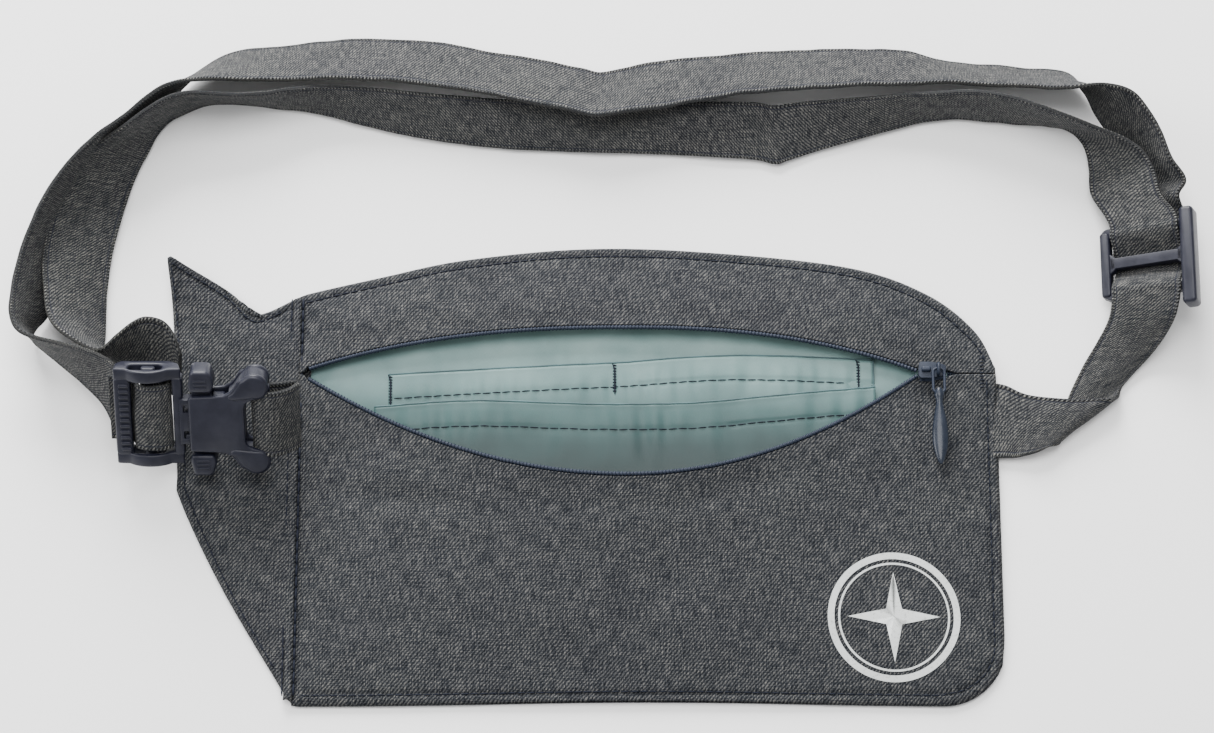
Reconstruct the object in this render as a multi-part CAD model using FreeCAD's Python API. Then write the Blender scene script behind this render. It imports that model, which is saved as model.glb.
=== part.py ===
"""Money belt: a flat zipped waist pouch with a doubled webbing belt, a side release buckle and a
triglide.  Millimetres, +Z up.  The pouch lies on its back on the plane Z = 0, its front faces up,
+X runs to the wearer's left end of the pouch and +Y from the bottom seam to the top seam."""
import math
import os

import FreeCAD
import Part

V = FreeCAD.Vector
os.makedirs("parts", exist_ok=True)

# ---- driving dimensions -------------------------------------------------------------------
CLOTH = 0.8              # outer fabric
LINING = 0.25            # satin lining
WEBBING_WIDTH = 25.0
WEBBING = 1.5            # folded fabric belt
POUCH_LEFT = -123.5
POUCH_RIGHT = 122.5
POUCH_BOTTOM = -84.0
CORNER = 21.0            # bottom right corner radius
ALLOWANCE = 6.0          # turned in seam allowance
FRONT_Z = 1.6            # underside of the front panels along the seams
BASE_PUFF = 4.6          # how far the front stands up away from the seams
PUFF_REACH = 42.0        # distance from a seam over which it rises
ZIP_Y = 36.0             # line of the zip
ZIP_GAP = 1.6            # half width between the two panels along the closed zip
MOUTH_LEFT = -120.0      # corners of the open mouth
MOUTH_RIGHT = 95.0
MOUTH_MIDDLE = -8.0
LOWER_SAG = 41.5         # lower lip, below the zip line at its deepest
UPPER_SAG = 17.0         # upper lip, above it
LOWER_BULGE = 12.0       # the lips also stand up from the pouch
UPPER_BULGE = 5.0
LIP_SHARE = 0.9          # share of its body's travel that the middle of a lip makes
LOWER_FADE = 80.0        # distance below the lip over which the bulge dies away
UPPER_FADE = 34.0
COIL = 1.4               # coil width
ZIP_FREE_LEFT = -116.5   # ends of the two coils that part when the zip opens
ZIP_FREE_RIGHT = 94.0
TAPE_WIDTH = 6.0
SLIDER_X = 100.0
BUCKLE_AT = V(-159.0, 12.5, 22.2)
BUCKLE_TILT = 48.0       # the buckle's face leans towards the bottom of the pouch
TRIGLIDE_AT = V(177.0, 76.0, 11.5)
TRIGLIDE_TILT = 24.0     # its outer side is lifted
EMBLEM_AT = (84.5, -54.0)
EMBLEM_RADIUS = 23.0

# ---- the front surface --------------------------------------------------------------------


def smooth_back(w):
    """Inverse of the smoothstep 3t^2 - 2t^3."""
    return 0.5 - math.sin(math.asin(1 - 2 * w) / 3)


def mouth_share(x, power):
    """0 at the corners of the mouth, 1 at its middle."""
    half = MOUTH_MIDDLE - MOUTH_LEFT if x < MOUTH_MIDDLE else MOUTH_RIGHT - MOUTH_MIDDLE
    u = min(1.0, abs(x - MOUTH_MIDDLE) / half)
    return 1 - u ** power


def lower_lip(x):
    return ZIP_Y - ZIP_GAP - (LOWER_SAG - ZIP_GAP) * mouth_share(x, 2.0)


def upper_lip(x):
    return ZIP_Y + ZIP_GAP + (UPPER_SAG - ZIP_GAP) * mouth_share(x, 2.4)


def base_height(x, y):
    """The front rises from the seams in a smooth shoulder."""
    near = min(x - POUCH_LEFT, POUCH_RIGHT - x, y - POUCH_BOTTOM, top_seam(x) - y)
    t = max(0.0, min(1.0, near / PUFF_REACH))
    return FRONT_Z + BASE_PUFF * math.sin(t * math.pi / 2)


def lower_height(x, y):
    away = max(0.0, min(1.0, (lower_lip(x) - y) / LOWER_FADE))
    w = LIP_SHARE * mouth_share(x, 2.0) * (1 - away) ** 3
    return base_height(x, y) + LOWER_BULGE * smooth_back(w)


def upper_height(x, y):
    away = max(0.0, min(1.0, (y - upper_lip(x)) / UPPER_FADE))
    w = LIP_SHARE * mouth_share(x, 2.4) * (1 - away) ** 3
    return base_height(x, y) + UPPER_BULGE * smooth_back(w)


# ---- outlines -----------------------------------------------------------------------------
TOP_POINTS = [(-142, 60), (-123.5, 66), (-95, 73), (-66, 79.5), (-24, 83.8), (18, 82.8),
              (70, 77), (98, 67), (115, 53), (122.5, 38)]


def spline(points):
    curve = Part.BSplineCurve()
    curve.interpolate([V(x, y, 0) for x, y in points])
    return curve



def top_seam(x):
    """Height of the top seam at x, between the points it passes through."""
    x = max(POUCH_LEFT, min(POUCH_RIGHT, x))
    for (xa, ya), (xb, yb) in zip(TOP_POINTS, TOP_POINTS[1:]):
        if xa <= x <= xb:
            return ya + (yb - ya) * (x - xa) / (xb - xa)
    return TOP_POINTS[-1][1]


def line(a, b):
    return Part.LineSegment(V(a[0], a[1], 0), V(b[0], b[1], 0)).toShape()


def pouch_face(inset=0.0):
    """The main pouch seen from the front; inset moves its edge in."""
    right = POUCH_RIGHT - inset
    bottom = POUCH_BOTTOM + inset
    radius = CORNER - inset
    corner_start = (right, bottom + radius)
    corner_end = (right - radius, bottom)
    diagonal = radius * (1 - math.sqrt(0.5))
    corner_middle = V(right - diagonal, bottom + diagonal, 0)
    corner = Part.Arc(V(corner_start[0], corner_start[1], 0), corner_middle,
                      V(corner_end[0], corner_end[1], 0)).toShape()
    top = [(x - inset * x / POUCH_RIGHT, y - inset) for x, y in TOP_POINTS[1:]]
    bottom_left = (top[0][0], bottom)
    return Part.Face(Part.Wire([spline(top).toShape(), line(top[-1], corner_start), corner,
                                line(corner_end, bottom_left), line(bottom_left, top[0])]))


WING_POINTS = [(-123.5, 66), (-136, 59.5), (-142, 59.5), (-152, 68.5), (-171, 79)]
WING_SIDE = [(-171, 79), (-168.5, 56), (-165.5, 2), (-164, -10), (-148, -43), (-123.5, -84)]


WING_MIDDLE = (-143.0, 0.0)
WING_SIZE = (47.5, 163.0)


def wing_face(inset=0.0):
    """The stiff side wing under the buckle, left of the pouch's seam; inset shrinks it."""
    shares = [1 - 2 * inset / size for size in WING_SIZE]

    def shrink(points):
        return [tuple(m + (c - m) * k for c, m, k in zip(p, WING_MIDDLE, shares)) for p in points]
    edge = shrink(WING_POINTS)
    side = shrink(WING_SIDE)
    return Part.Face(Part.Wire([spline(edge).toShape(), line(side[0], side[2]),
                                spline(side[2:]).toShape(), line(side[-1], edge[0])]))


def prism(face, low, high):
    solid = face.extrude(V(0, 0, high - low))
    solid.translate(V(0, 0, low))
    return solid


def curved_slab(height, thick, x_range, y_range, columns=30, rows=18):
    """A slab of even thickness whose underside follows height(x, y)."""
    grid = []
    for i in range(columns + 1):
        x = x_range[0] + (x_range[1] - x_range[0]) * i / columns
        row = []
        for j in range(rows + 1):
            y = y_range[0] + (y_range[1] - y_range[0]) * j / rows
            row.append(V(x, y, height(x, y)))
        grid.append(row)
    surface = Part.BSplineSurface()
    surface.interpolate(grid)
    return surface.toShape().extrude(V(0, 0, thick))


def save(name, shape):
    solids = shape.Solids
    if not solids:
        raise ValueError(name + " has no solid")
    shape = solids[0] if len(solids) == 1 else Part.makeCompound(solids)
    if not shape.isValid():
        print("NOT VALID", name)
    shape.exportStep("parts/" + name + ".step")


# ---- pouch shell --------------------------------------------------------------------------


def lip_edge(lip, samples=24):
    """The edge of a panel along the zip: the lip, then straight along the closed zip."""
    points = []
    for i in range(samples + 1):
        x = MOUTH_LEFT + (MOUTH_RIGHT - MOUTH_LEFT) * i / samples
        points.append((x, lip(x)))
    return points


def below_zip_face(extra=0.0):
    points = lip_edge(lower_lip)
    low = POUCH_BOTTOM - 10
    left = POUCH_LEFT - 10
    right = POUCH_RIGHT + 10
    edges = [spline([(x, y - extra) for x, y in points]).toShape()]
    start = (points[0][0], points[0][1] - extra)
    end = (points[-1][0], points[-1][1] - extra)
    edges += [line(end, (right, end[1])), line((right, end[1]), (right, low)),
              line((right, low), (left, low)), line((left, low), (left, start[1])),
              line((left, start[1]), start)]
    return Part.Face(Part.Wire(edges))


def above_zip_face(extra=0.0):
    points = lip_edge(upper_lip)
    high = 100
    left = POUCH_LEFT - 10
    right = POUCH_RIGHT + 10
    edges = [spline([(x, y + extra) for x, y in points]).toShape()]
    start = (points[0][0], points[0][1] + extra)
    end = (points[-1][0], points[-1][1] + extra)
    edges += [line(end, (right, end[1])), line((right, end[1]), (right, high)),
              line((right, high), (left, high)), line((left, high), (left, start[1])),
              line((left, start[1]), start)]
    return Part.Face(Part.Wire(edges))


def zip_region(inner, outer, lip, side):
    """The strip along a lip from inner to outer millimetres away from it, side -1 below, +1 above."""
    near = [(x, y + side * inner) for x, y in lip_edge(lip)]
    far = [(x, y + side * outer) for x, y in lip_edge(lip)]
    edges = [spline(near).toShape(), line(near[-1], far[-1]), spline(far).toShape(),
             line(far[0], near[0])]
    return Part.Face(Part.Wire(Part.__sortEdges__(edges)))


X_RANGE = (POUCH_LEFT - 6, POUCH_RIGHT + 6)
LOWER_RANGE = (POUCH_BOTTOM - 4, ZIP_Y + 4)
UPPER_RANGE = (ZIP_Y - 2, 90)
TALL = 60.0


def lower_slab(lift, thick):
    return curved_slab(lambda x, y: lower_height(x, y) + lift, thick, X_RANGE, LOWER_RANGE)


def upper_slab(lift, thick):
    return curved_slab(lambda x, y: upper_height(x, y) + lift, thick, X_RANGE, UPPER_RANGE)


def make_pouch():
    save("back_panel", prism(pouch_face(), 0, CLOTH))
    ring = prism(pouch_face(), CLOTH, FRONT_Z - 0.6).cut(prism(pouch_face(ALLOWANCE), 0, 5))
    save("seam_allowance", ring)
    outline = prism(pouch_face(), 0, TALL)
    save("front_lower_panel",
         lower_slab(0, CLOTH).common(outline).common(prism(below_zip_face(), 0, TALL)))
    save("front_upper_panel",
         upper_slab(0, CLOTH).common(outline).common(prism(above_zip_face(), 0, TALL)))


def make_wing():
    wing = wing_face()
    save("wing_back_panel", prism(wing, 0, CLOTH))
    core = prism(wing, CLOTH, FRONT_Z)
    save("wing_seam_allowance", core.cut(prism(wing_face(ALLOWANCE), 0, 5)))
    save("wing_front_panel", prism(wing, FRONT_Z, FRONT_Z + CLOTH))
    top = FRONT_Z + CLOTH
    welt = Part.makeBox(2.8, top_seam(POUCH_LEFT) - POUCH_BOTTOM - 2, 0.9,
                        V(POUCH_LEFT - 2.8, POUCH_BOTTOM + 1, top))
    save("seam_welt", welt)


# ---- inside -------------------------------------------------------------------------------
LINING_GAP = 0.2
POCKET_LEFT = -92.0
POCKET_MIDDLE = -12.0
POCKET_RIGHT = 75.0
CARD_TOP = 36.5
SLIP_TOP = 23.0
POCKET_BOTTOM = -66.0


def make_inside():
    inner = pouch_face(ALLOWANCE + LINING_GAP)
    floor_z = CLOTH + 0.1
    save("back_lining", prism(inner, floor_z, floor_z + LINING))
    card_z = floor_z + LINING + 0.35
    card = Part.makeBox(POCKET_RIGHT - POCKET_LEFT, CARD_TOP - POCKET_BOTTOM, 0.5,
                        V(POCKET_LEFT, POCKET_BOTTOM, card_z))
    save("card_pocket", card)
    slip_z = card_z + 1.0
    slip = Part.makeBox(POCKET_RIGHT - POCKET_LEFT + 10, SLIP_TOP - POCKET_BOTTOM - 4, 0.5,
                        V(POCKET_LEFT - 4, POCKET_BOTTOM + 4, slip_z))
    save("slip_pocket", slip)
    tacks = []
    for x in (POCKET_LEFT + 1, POCKET_MIDDLE, POCKET_RIGHT - 1):
        tacks.append(Part.makeBox(1.2, 10.0, 0.3, V(x - 0.6, CARD_TOP - 11, card_z + 0.5)))
    save("pocket_bartacks", Part.makeCompound(tacks))
    cut = prism(pouch_face(ALLOWANCE + LINING_GAP), 0, TALL)
    lower = lower_slab(-0.35, LINING).common(cut).common(prism(below_zip_face(0.6), 0, TALL))
    save("front_lining", lower)
    upper = upper_slab(-0.35, LINING).common(cut).common(prism(above_zip_face(0.6), 0, TALL))
    save("upper_lining", upper)


# ---- zip ----------------------------------------------------------------------------------


def make_zip():
    free = Part.makeBox(ZIP_FREE_RIGHT - ZIP_FREE_LEFT, 80, TALL, V(ZIP_FREE_LEFT, -10, 0))
    for name, slab, lip, side in (("lower", lower_slab, lower_lip, -1),
                                  ("upper", upper_slab, upper_lip, 1)):
        strip = prism(zip_region(-0.9, TAPE_WIDTH - 1, lip, side), 0, TALL)
        save(name + "_tape", slab(-0.95, 0.45).common(strip).common(free))
        strip = prism(zip_region(-COIL - 0.3, -0.3, lip, side), 0, TALL)
        save(name + "_coil", slab(-0.35, 1.2).common(strip).common(free))
    closed_z = base_height(110, ZIP_Y)
    closed = Part.makeBox(8.6, 2.4, 1.2, V(107.5, ZIP_Y - 1.2, closed_z - 0.6))
    save("closed_coil", closed)
    stops = []
    for x in (MOUTH_LEFT - 2.2, POUCH_RIGHT - 3.0):
        stops.append(Part.makeBox(1.6, 3.0, 1.6, V(x - 0.8, ZIP_Y - 1.5, FRONT_Z + 0.05)))
    save("zip_end_stops", Part.makeCompound(stops))


SLIDER_Z = base_height(SLIDER_X, ZIP_Y) + CLOTH / 2
SLIDER_LENGTH = 10.0
SLIDER_GAP = 1.65        # half height of the channel between its plates
SLIDER_WIDTH = 6.4
LINK_Z = SLIDER_Z + 3.8
LINK_X = SLIDER_X + 2.0
LINK_Y = ZIP_Y
PULL_TOP_Y = 25.6
PULL_END_Y = 0.4
PULL_DROOP = 0.4


def make_slider():
    """Two shield plates joined by a wedge, with a ridge and a bridge that holds the link."""
    half = SLIDER_WIDTH / 2
    back = SLIDER_X + SLIDER_LENGTH / 2
    front = SLIDER_X - SLIDER_LENGTH / 2
    outline = Part.Wire([line((back, ZIP_Y - half * 0.7), (back, ZIP_Y + half * 0.7)),
                         line((back, ZIP_Y + half * 0.7), (front, ZIP_Y + half)),
                         line((front, ZIP_Y + half), (front, ZIP_Y - half)),
                         line((front, ZIP_Y - half), (back, ZIP_Y - half * 0.7))])
    plate = Part.Face(outline)
    top = prism(plate, SLIDER_Z + SLIDER_GAP, SLIDER_Z + SLIDER_GAP + 0.9)
    bottom = prism(plate, SLIDER_Z - SLIDER_GAP - 0.9, SLIDER_Z - SLIDER_GAP)
    wedge = Part.makeBox(2.2, 1.6, 2 * SLIDER_GAP + 0.2,
                         V(front, ZIP_Y - 0.8, SLIDER_Z - SLIDER_GAP - 0.1))
    ridge = Part.makeBox(3.2, 1.6, 2.4, V(front + 0.8, ZIP_Y - 0.8, SLIDER_Z + 2.1))
    bridge = Part.makeBox(1.6, 4.6, 3.4, V(LINK_X - 0.8, ZIP_Y - 2.3, SLIDER_Z + 2.1))
    window = Part.makeBox(4.0, 2.8, 1.7, V(LINK_X - 2, ZIP_Y - 1.4, LINK_Z - 0.85))
    body = top.fuse([bottom, wedge, ridge, bridge]).cut(window)
    save("zip_slider", body.removeSplitter())


def make_pull():
    """A wire link through the bridge and a leaf shaped puller with an eye."""
    wire = 0.55
    z = LINK_Z
    low_y = PULL_TOP_Y + 1.4
    half = 2.0
    bars = [Part.makeCylinder(wire, 2 * half, V(LINK_X - half, LINK_Y, z), V(1, 0, 0)),
            Part.makeCylinder(wire, 2 * half, V(LINK_X - half, low_y, z), V(1, 0, 0))]
    for x in (LINK_X - half, LINK_X + half):
        bars.append(Part.makeCylinder(wire, LINK_Y - low_y, V(x, low_y, z), V(0, 1, 0)))
        bars.append(Part.makeSphere(wire, V(x, LINK_Y, z)))
        bars.append(Part.makeSphere(wire, V(x, low_y, z)))
    save("pull_link", bars[0].fuse(bars[1:]))
    eye = Part.makeCylinder(1.9, 2.2, V(LINK_X - 1.1, low_y, z), V(1, 0, 0))
    hole = Part.makeCylinder(0.85, 4.0, V(LINK_X - 2, low_y, z), V(1, 0, 0))
    length = PULL_TOP_Y - PULL_END_Y
    stations = [(0.0, 1.0), (0.22, 1.5), (0.5, 2.6), (0.72, 2.9), (0.9, 2.0), (1.0, 0.6)]
    rings = []
    for share, half_width in stations:
        y = low_y - 1.4 - length * share
        centre = V(LINK_X, y, z - PULL_DROOP * share)
        ellipse = Part.Ellipse(centre, half_width, min(1.3, half_width * 0.8))
        shape = ellipse.toShape()
        shape.rotate(centre, V(1, 0, 0), 90)
        rings.append(Part.Wire(shape))
    leaf = Part.makeLoft(rings, True, False)
    save("zip_pull", leaf.fuse(eye).cut(hole))


# ---- emblem and seam tacks ----------------------------------------------------------------


def make_emblem():
    """A plain ring with a four pointed star, printed on the front."""
    x, y = EMBLEM_AT
    centre = V(x, y, 0)
    ring = Part.makeCylinder(EMBLEM_RADIUS, TALL, centre)
    ring = ring.cut(Part.makeCylinder(EMBLEM_RADIUS - 2.4, TALL, centre))
    points = []
    for i in range(8):
        radius = EMBLEM_RADIUS * (0.72 if i % 2 == 0 else 0.2)
        angle = math.radians(45 * i)
        points.append(V(x + radius * math.cos(angle), y + radius * math.sin(angle), 0))
    star = Part.Face(Part.makePolygon(points + points[:1])).extrude(V(0, 0, TALL))
    skin = lower_slab(CLOTH + 0.02, 0.12)
    save("emblem_print", skin.common(Part.makeCompound([ring, star])))


def make_seam_tack():
    x = 117.0
    tack = Part.makeBox(1.2, 11.0, 0.5, V(x, ZIP_Y - 5.5, base_height(x, ZIP_Y) + CLOTH + 0.08))
    save("seam_bartack", tack)


# ---- belt ---------------------------------------------------------------------------------
# Each station is the belt's lower edge and its upper edge.
ANCHOR_STATIONS = [((123.3, 36, 2.2), (123.3, 11, 2.2)), ((128, 36, 2.6), (128, 11, 2.6)),
                   ((137, 32.5, 3.5), (140, 7.5, 3.6)),
                   ((148, 28, 4), (158, 11, 9)), ((154, 32, 4), (170, 23, 14)),
                   ((158, 44, 4.5), (179, 37, 16.5)), ((162, 52, 7), (184, 50, 18)),
                   ((164.2, 56.5, 8.7), (186.7, 56.5, 18.9)),
                   ((164.5, 61, 8.8), (187, 61, 19))]
WEAVE_STATIONS = [(-13.4, 2.7), (-9.9, 2.7), (-2.9, -2.7), (2.9, -2.7), (9.9, 2.7), (13.4, 2.7)]
INNER_RIGHT_STATIONS = [((164.5, 91.4, 8.8), (187, 91.4, 19)), ((164, 95, 8.5), (186.4, 95, 19)),
                        ((159, 104, 5), (179, 104, 18)),
                        ((154, 115, 3), (168, 119, 19)), ((140, 129, 1.5), (147, 132, 24)),
                        ((115, 131, 1.5), (117, 137, 24)), ((80, 124, 1.5), (80, 138, 20)),
                        ((44, 117, 1.5), (44, 137, 15)), ((0, 118, 1.5), (0, 137, 15.5))]
INNER_LEFT_STATIONS = [((-1, 118, 1.5), (-1, 137, 15.5)), ((-38, 117, 1.5), (-38, 136, 15.5)),
                       ((-74, 120, 1.5), (-74, 138, 17.5)), ((-110, 130, 1.5), (-112, 140, 22.5)),
                       ((-146, 137, 1.5), (-150, 134, 26)), ((-166, 131, 1.5), (-178, 127, 22.5)),
                       ((-182, 106, 1.5), (-203, 105, 14)), ((-188, 83, 1.5), (-210, 81, 13)),
                       ((-191, 63, 1.5), (-212, 65, 14)), ((-188, 50, 2), (-204, 56, 20)),
                       ((-180, 49, 3.5), (-184, 48, 28)), ((-172, 50, 4), (-172, 47, 28.5)),
                       ((-165.5, 42, 5), (-164.5, 39, 29.5))]
OUTER_RIGHT_STATIONS = [((167.6, 77, 1.2), (190.5, 77, 11.4)), ((167.6, 91, 1.2), (190.5, 91, 11.4)),
                        ((169.5, 96, 1.4), (191.5, 95, 13.5)), ((174.5, 101, 1.7), (191.5, 99, 20)),
                        ((180, 107, 2), (190, 104, 25)),
                        ((176, 116, 2.5), (184, 109, 26)), ((165, 134, 2), (172, 134, 26)),
                        ((152, 146, 1.5), (157, 141, 25.5)), ((130, 153, 1.5), (131, 138, 21)),
                        ((88, 160, 1.5), (88, 141, 17)), ((38, 160, 1.5), (38, 140.5, 16.5)),
                        ((2, 159, 1.5), (2, 140.5, 17))]
OUTER_LEFT_STATIONS = [((-2, 158.5, 1.5), (-2, 140.5, 17)), ((-19, 153, 1.5), (-19, 140, 19)),
                       ((-38, 160, 1.5), (-38, 140, 16)), ((-80, 163, 1.5), (-78, 144, 17.5)),
                       ((-115, 161, 1.5), (-115, 144, 20)), ((-146, 156, 1.5), (-146, 141, 21.5)),
                       ((-174, 143, 1.5), (-173, 135, 25)), ((-198, 117, 1.5), (-203, 117, 26)),
                       ((-208, 93, 1.5), (-221, 88, 22)), ((-212, 70, 1.5), (-225, 65, 22)),
                       ((-209, 52, 1.5), (-221, 45, 22.5)), ((-201, 41, 2), (-207, 37, 26)),
                       ((-195, 24, 6), (-198, 30, 29)), ((-189.5, 10, 9.5), (-190, 25, 28.5)),
                       ((-183, 7.2, 10), (-183, 24, 28.7))]


def triangle(a, b, c):
    return Part.Face(Part.makePolygon([a, b, c, a]))


def ribbon(stations, width=WEBBING_WIDTH, thick=WEBBING):
    """A flat belt of constant section through the stations."""
    middles = []
    for a, b in stations:
        middles.append((V(*a) + V(*b)) * 0.5)
    sections = []
    for i, (a, b) in enumerate(stations):
        before = middles[max(0, i - 1)]
        after = middles[min(len(middles) - 1, i + 1)]
        along = (after - before).normalize()
        across = V(*b) - V(*a)
        across = (across - along * across.dot(along)).normalize()
        normal = along.cross(across).normalize()
        side = across * (width / 2)
        up = normal * (thick / 2)
        sections.append([middles[i] - side - up, middles[i] + side - up, middles[i] + side + up,
                         middles[i] - side + up])
    faces = [triangle(*sections[0][:3]), triangle(sections[0][0], *sections[0][2:]),
             triangle(*sections[-1][:3]), triangle(sections[-1][0], *sections[-1][2:])]
    for one, two in zip(sections, sections[1:]):
        for k in range(4):
            n = (k + 1) % 4
            faces.append(triangle(one[k], one[n], two[n]))
            faces.append(triangle(one[k], two[n], two[k]))
    shell = Part.Shell(faces)
    solid = Part.Solid(shell)
    if solid.Volume < 0:
        solid.reverse()
    return solid


def make_belt():
    save("belt_anchor", ribbon(ANCHOR_STATIONS))
    save("belt_inner_right", ribbon(INNER_RIGHT_STATIONS))
    save("belt_inner_left", ribbon(INNER_LEFT_STATIONS))
    save("belt_outer_right", ribbon(OUTER_RIGHT_STATIONS))
    save("belt_outer_left", ribbon(OUTER_LEFT_STATIONS))
    half = WEBBING_WIDTH / 2
    weave = [((-half, y, z), (half, y, z)) for y, z in WEAVE_STATIONS]
    save("belt_weave", in_triglide(ribbon(weave)))


# ---- buckle -------------------------------------------------------------------------------
# Built flat with its length on X, its width on Y and its thickness on Z, then tilted.
BAR_LEFT = -27.0
FRAME_RIGHT = -8.0
FRAME_HALF = 16.5
SLOT_HALF = 13.2
SOCKET_LEFT = -1.5
SOCKET_RIGHT = 27.5
PLATE_HALF = 10.5
EAR_HALF = 17.2
CAVITY = 2.6             # half height of the socket's cavity
PLATE = 1.9
PRONG_THICK = 2.0
PAD_LEFT = -0.4
PAD_RIGHT = 9.0
PAD_INNER = 12.4
PAD_OUTER = 20.5
PRONG_PIVOT = (-5.6, 6.6)
PRONG_ROOT = 1.6


def block(x0, x1, y0, y1, z0, z1):
    return Part.makeBox(x1 - x0, y1 - y0, z1 - z0, V(x0, y0, z0))


def in_buckle(shape):
    shape = shape.copy()
    shape.rotate(V(0, 0, 0), V(1, 0, 0), BUCKLE_TILT)
    shape.translate(BUCKLE_AT)
    return shape


def make_plug():
    """Webbing frame, neck, middle tongue; the two sprung prongs are separate bodies."""
    outer_bar = block(BAR_LEFT, BAR_LEFT + 3.6, -FRAME_HALF, FRAME_HALF, -2.2, 2.2)
    front_bar = block(FRAME_RIGHT - 2.6, FRAME_RIGHT, -FRAME_HALF, FRAME_HALF, -2.2, 2.2)
    parts = [outer_bar, front_bar]
    for side in (-1, 1):
        low = min(side * SLOT_HALF, side * FRAME_HALF)
        high = max(side * SLOT_HALF, side * FRAME_HALF)
        parts.append(block(BAR_LEFT, FRAME_RIGHT, low, high, -3.2, 3.6))
        slot = block(-22.6, -16.4, low - 0.1, high + 0.1, -0.9, 0.9)
        parts[-1] = parts[-1].cut(slot)
    parts.append(block(FRAME_RIGHT - 0.5, -1.9, -8.6, 8.6, -2.4, 2.4))
    parts.append(block(-2.5, 13.0, -2.2, 2.2, -1.9, 1.9))
    frame = parts[0].fuse(parts[1:])
    for side in (-1, 1):
        x, y = PRONG_PIVOT
        frame = frame.cut(block(x - 1.9, 0, min(side * 4.4, side * 9), max(side * 4.4, side * 9),
                                -3, 3))
    save("buckle_plug", in_buckle(frame.removeSplitter()))


def make_prong(name, side):
    """A sprung arm with its catch and the pad that is squeezed to release the buckle."""
    def span(a, b):
        return min(side * a, side * b), max(side * a, side * b)
    x, y = PRONG_PIVOT
    low, high = span(y - PRONG_ROOT, y + PRONG_ROOT)
    root = block(x, -0.2, low, high, -PRONG_THICK, PRONG_THICK)
    knuckle = Part.makeCylinder(PRONG_ROOT, 2 * PRONG_THICK, V(x, side * y, -PRONG_THICK))
    low, high = span(6.2, 8.6)
    arm = block(-0.4, 13.0, low, high, -PRONG_THICK, PRONG_THICK)
    low, high = span(8.4, 10.2)
    catch = block(7.6, 12.0, low, high, -PRONG_THICK, PRONG_THICK)
    low, high = span(8.4, PAD_INNER + 0.5)
    neck = block(0.4, 6.6, low, high, -PRONG_THICK, PRONG_THICK)
    low, high = span(PAD_INNER, PAD_OUTER)
    pad = block(PAD_LEFT, PAD_RIGHT - 1.6, low, high, -4.6, 4.6)
    edges = [e for e in pad.Edges if abs(e.Curve.Direction.z) > 0.9]
    pad = pad.makeFillet(2.2, edges)
    prong = root.fuse([knuckle, arm, catch, neck, pad]).removeSplitter()
    save(name, in_buckle(prong))


def make_socket():
    """Two shield plates, side rails behind the release windows and the webbing bar."""
    parts = []
    for z in (CAVITY, -CAVITY - PLATE):
        parts.append(block(SOCKET_LEFT, 18.5, -PLATE_HALF, PLATE_HALF, z, z + PLATE))
    for side in (-1, 1):
        low = min(side * SLOT_HALF, side * EAR_HALF)
        high = max(side * SLOT_HALF, side * EAR_HALF)
        parts.append(block(14.5, SOCKET_RIGHT, low, high, -4.2, 4.2))
    parts.append(block(16.0, 18.5, -EAR_HALF, EAR_HALF, -4.5, 4.5))
    parts.append(block(SOCKET_RIGHT - 3.4, SOCKET_RIGHT, -SLOT_HALF, SLOT_HALF, -1.6, 1.6))
    save("buckle_socket", in_buckle(parts[0].fuse(parts[1:]).removeSplitter()))


def make_adjuster_bar():
    """Floating bar that grips the belt: it slides in slots in the frame's side rails."""
    bar = block(-20.6, -17.6, -FRAME_HALF, FRAME_HALF, -0.7, 0.7)
    save("adjuster_bar", in_buckle(bar))


def wrap(x_round, x_end, radius, thick):
    """Webbing that wraps a bar at x_round and runs in two layers to x_end."""
    sign = 1 if x_end > x_round else -1
    half = WEBBING_WIDTH / 2
    outer = Part.makeCylinder(radius + thick, WEBBING_WIDTH, V(x_round, -half, 0), V(0, 1, 0))
    inner = Part.makeCylinder(radius, WEBBING_WIDTH + 2, V(x_round, -half - 1, 0), V(0, 1, 0))
    keep = block(min(x_round, x_round - sign * 20), max(x_round, x_round - sign * 20),
                 -half, half, -20, 20)
    shape = outer.cut(inner).common(keep)
    for z in (radius, -radius - thick):
        shape = shape.fuse(block(min(x_round, x_end), max(x_round, x_end), -half, half, z,
                                 z + thick))
    return shape.removeSplitter()


def make_wraps():
    """The belt's turn round the adjuster bar, and the loop that holds the socket."""
    save("plug_wrap", in_buckle(wrap(-12.9, -22.9, 0.95, 1.1)))
    loop = wrap(SOCKET_RIGHT - 1.8, SOCKET_RIGHT + 6.0, 2.9, 1.2)
    save("socket_loop", in_buckle(loop))


# ---- triglide -----------------------------------------------------------------------------


def in_triglide(shape):
    shape = shape.copy()
    shape.rotate(V(0, 0, 0), V(0, 1, 0), -TRIGLIDE_TILT)
    shape.translate(TRIGLIDE_AT)
    return shape


def make_triglide():
    half_width = 16.5
    half_length = 13.5
    frame = block(-half_width, half_width, -half_length, half_length, -1.6, 1.6)
    edges = [e for e in frame.Edges if abs(e.Curve.Direction.z) > 0.9]
    frame = frame.makeFillet(2.5, edges)
    for low, high in ((-half_length + 3.2, -2.0), (2.0, half_length - 3.2)):
        frame = frame.cut(block(-13.2, 13.2, low, high, -5, 5))
    save("triglide", in_triglide(frame))


make_pouch()
make_wing()
make_inside()
make_zip()
make_slider()
make_pull()
make_emblem()
make_seam_tack()
make_belt()
make_plug()
make_prong("upper_prong", 1)
make_prong("lower_prong", -1)
make_socket()
make_adjuster_bar()
make_wraps()
make_triglide()
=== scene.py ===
"""Looks for the money belt: cloth panels, lining, zip, webbing belt and moulded hardware, in metres."""
import math

import bmesh
import bpy
import numpy as np
from mathutils import Matrix, Vector, noise


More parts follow.
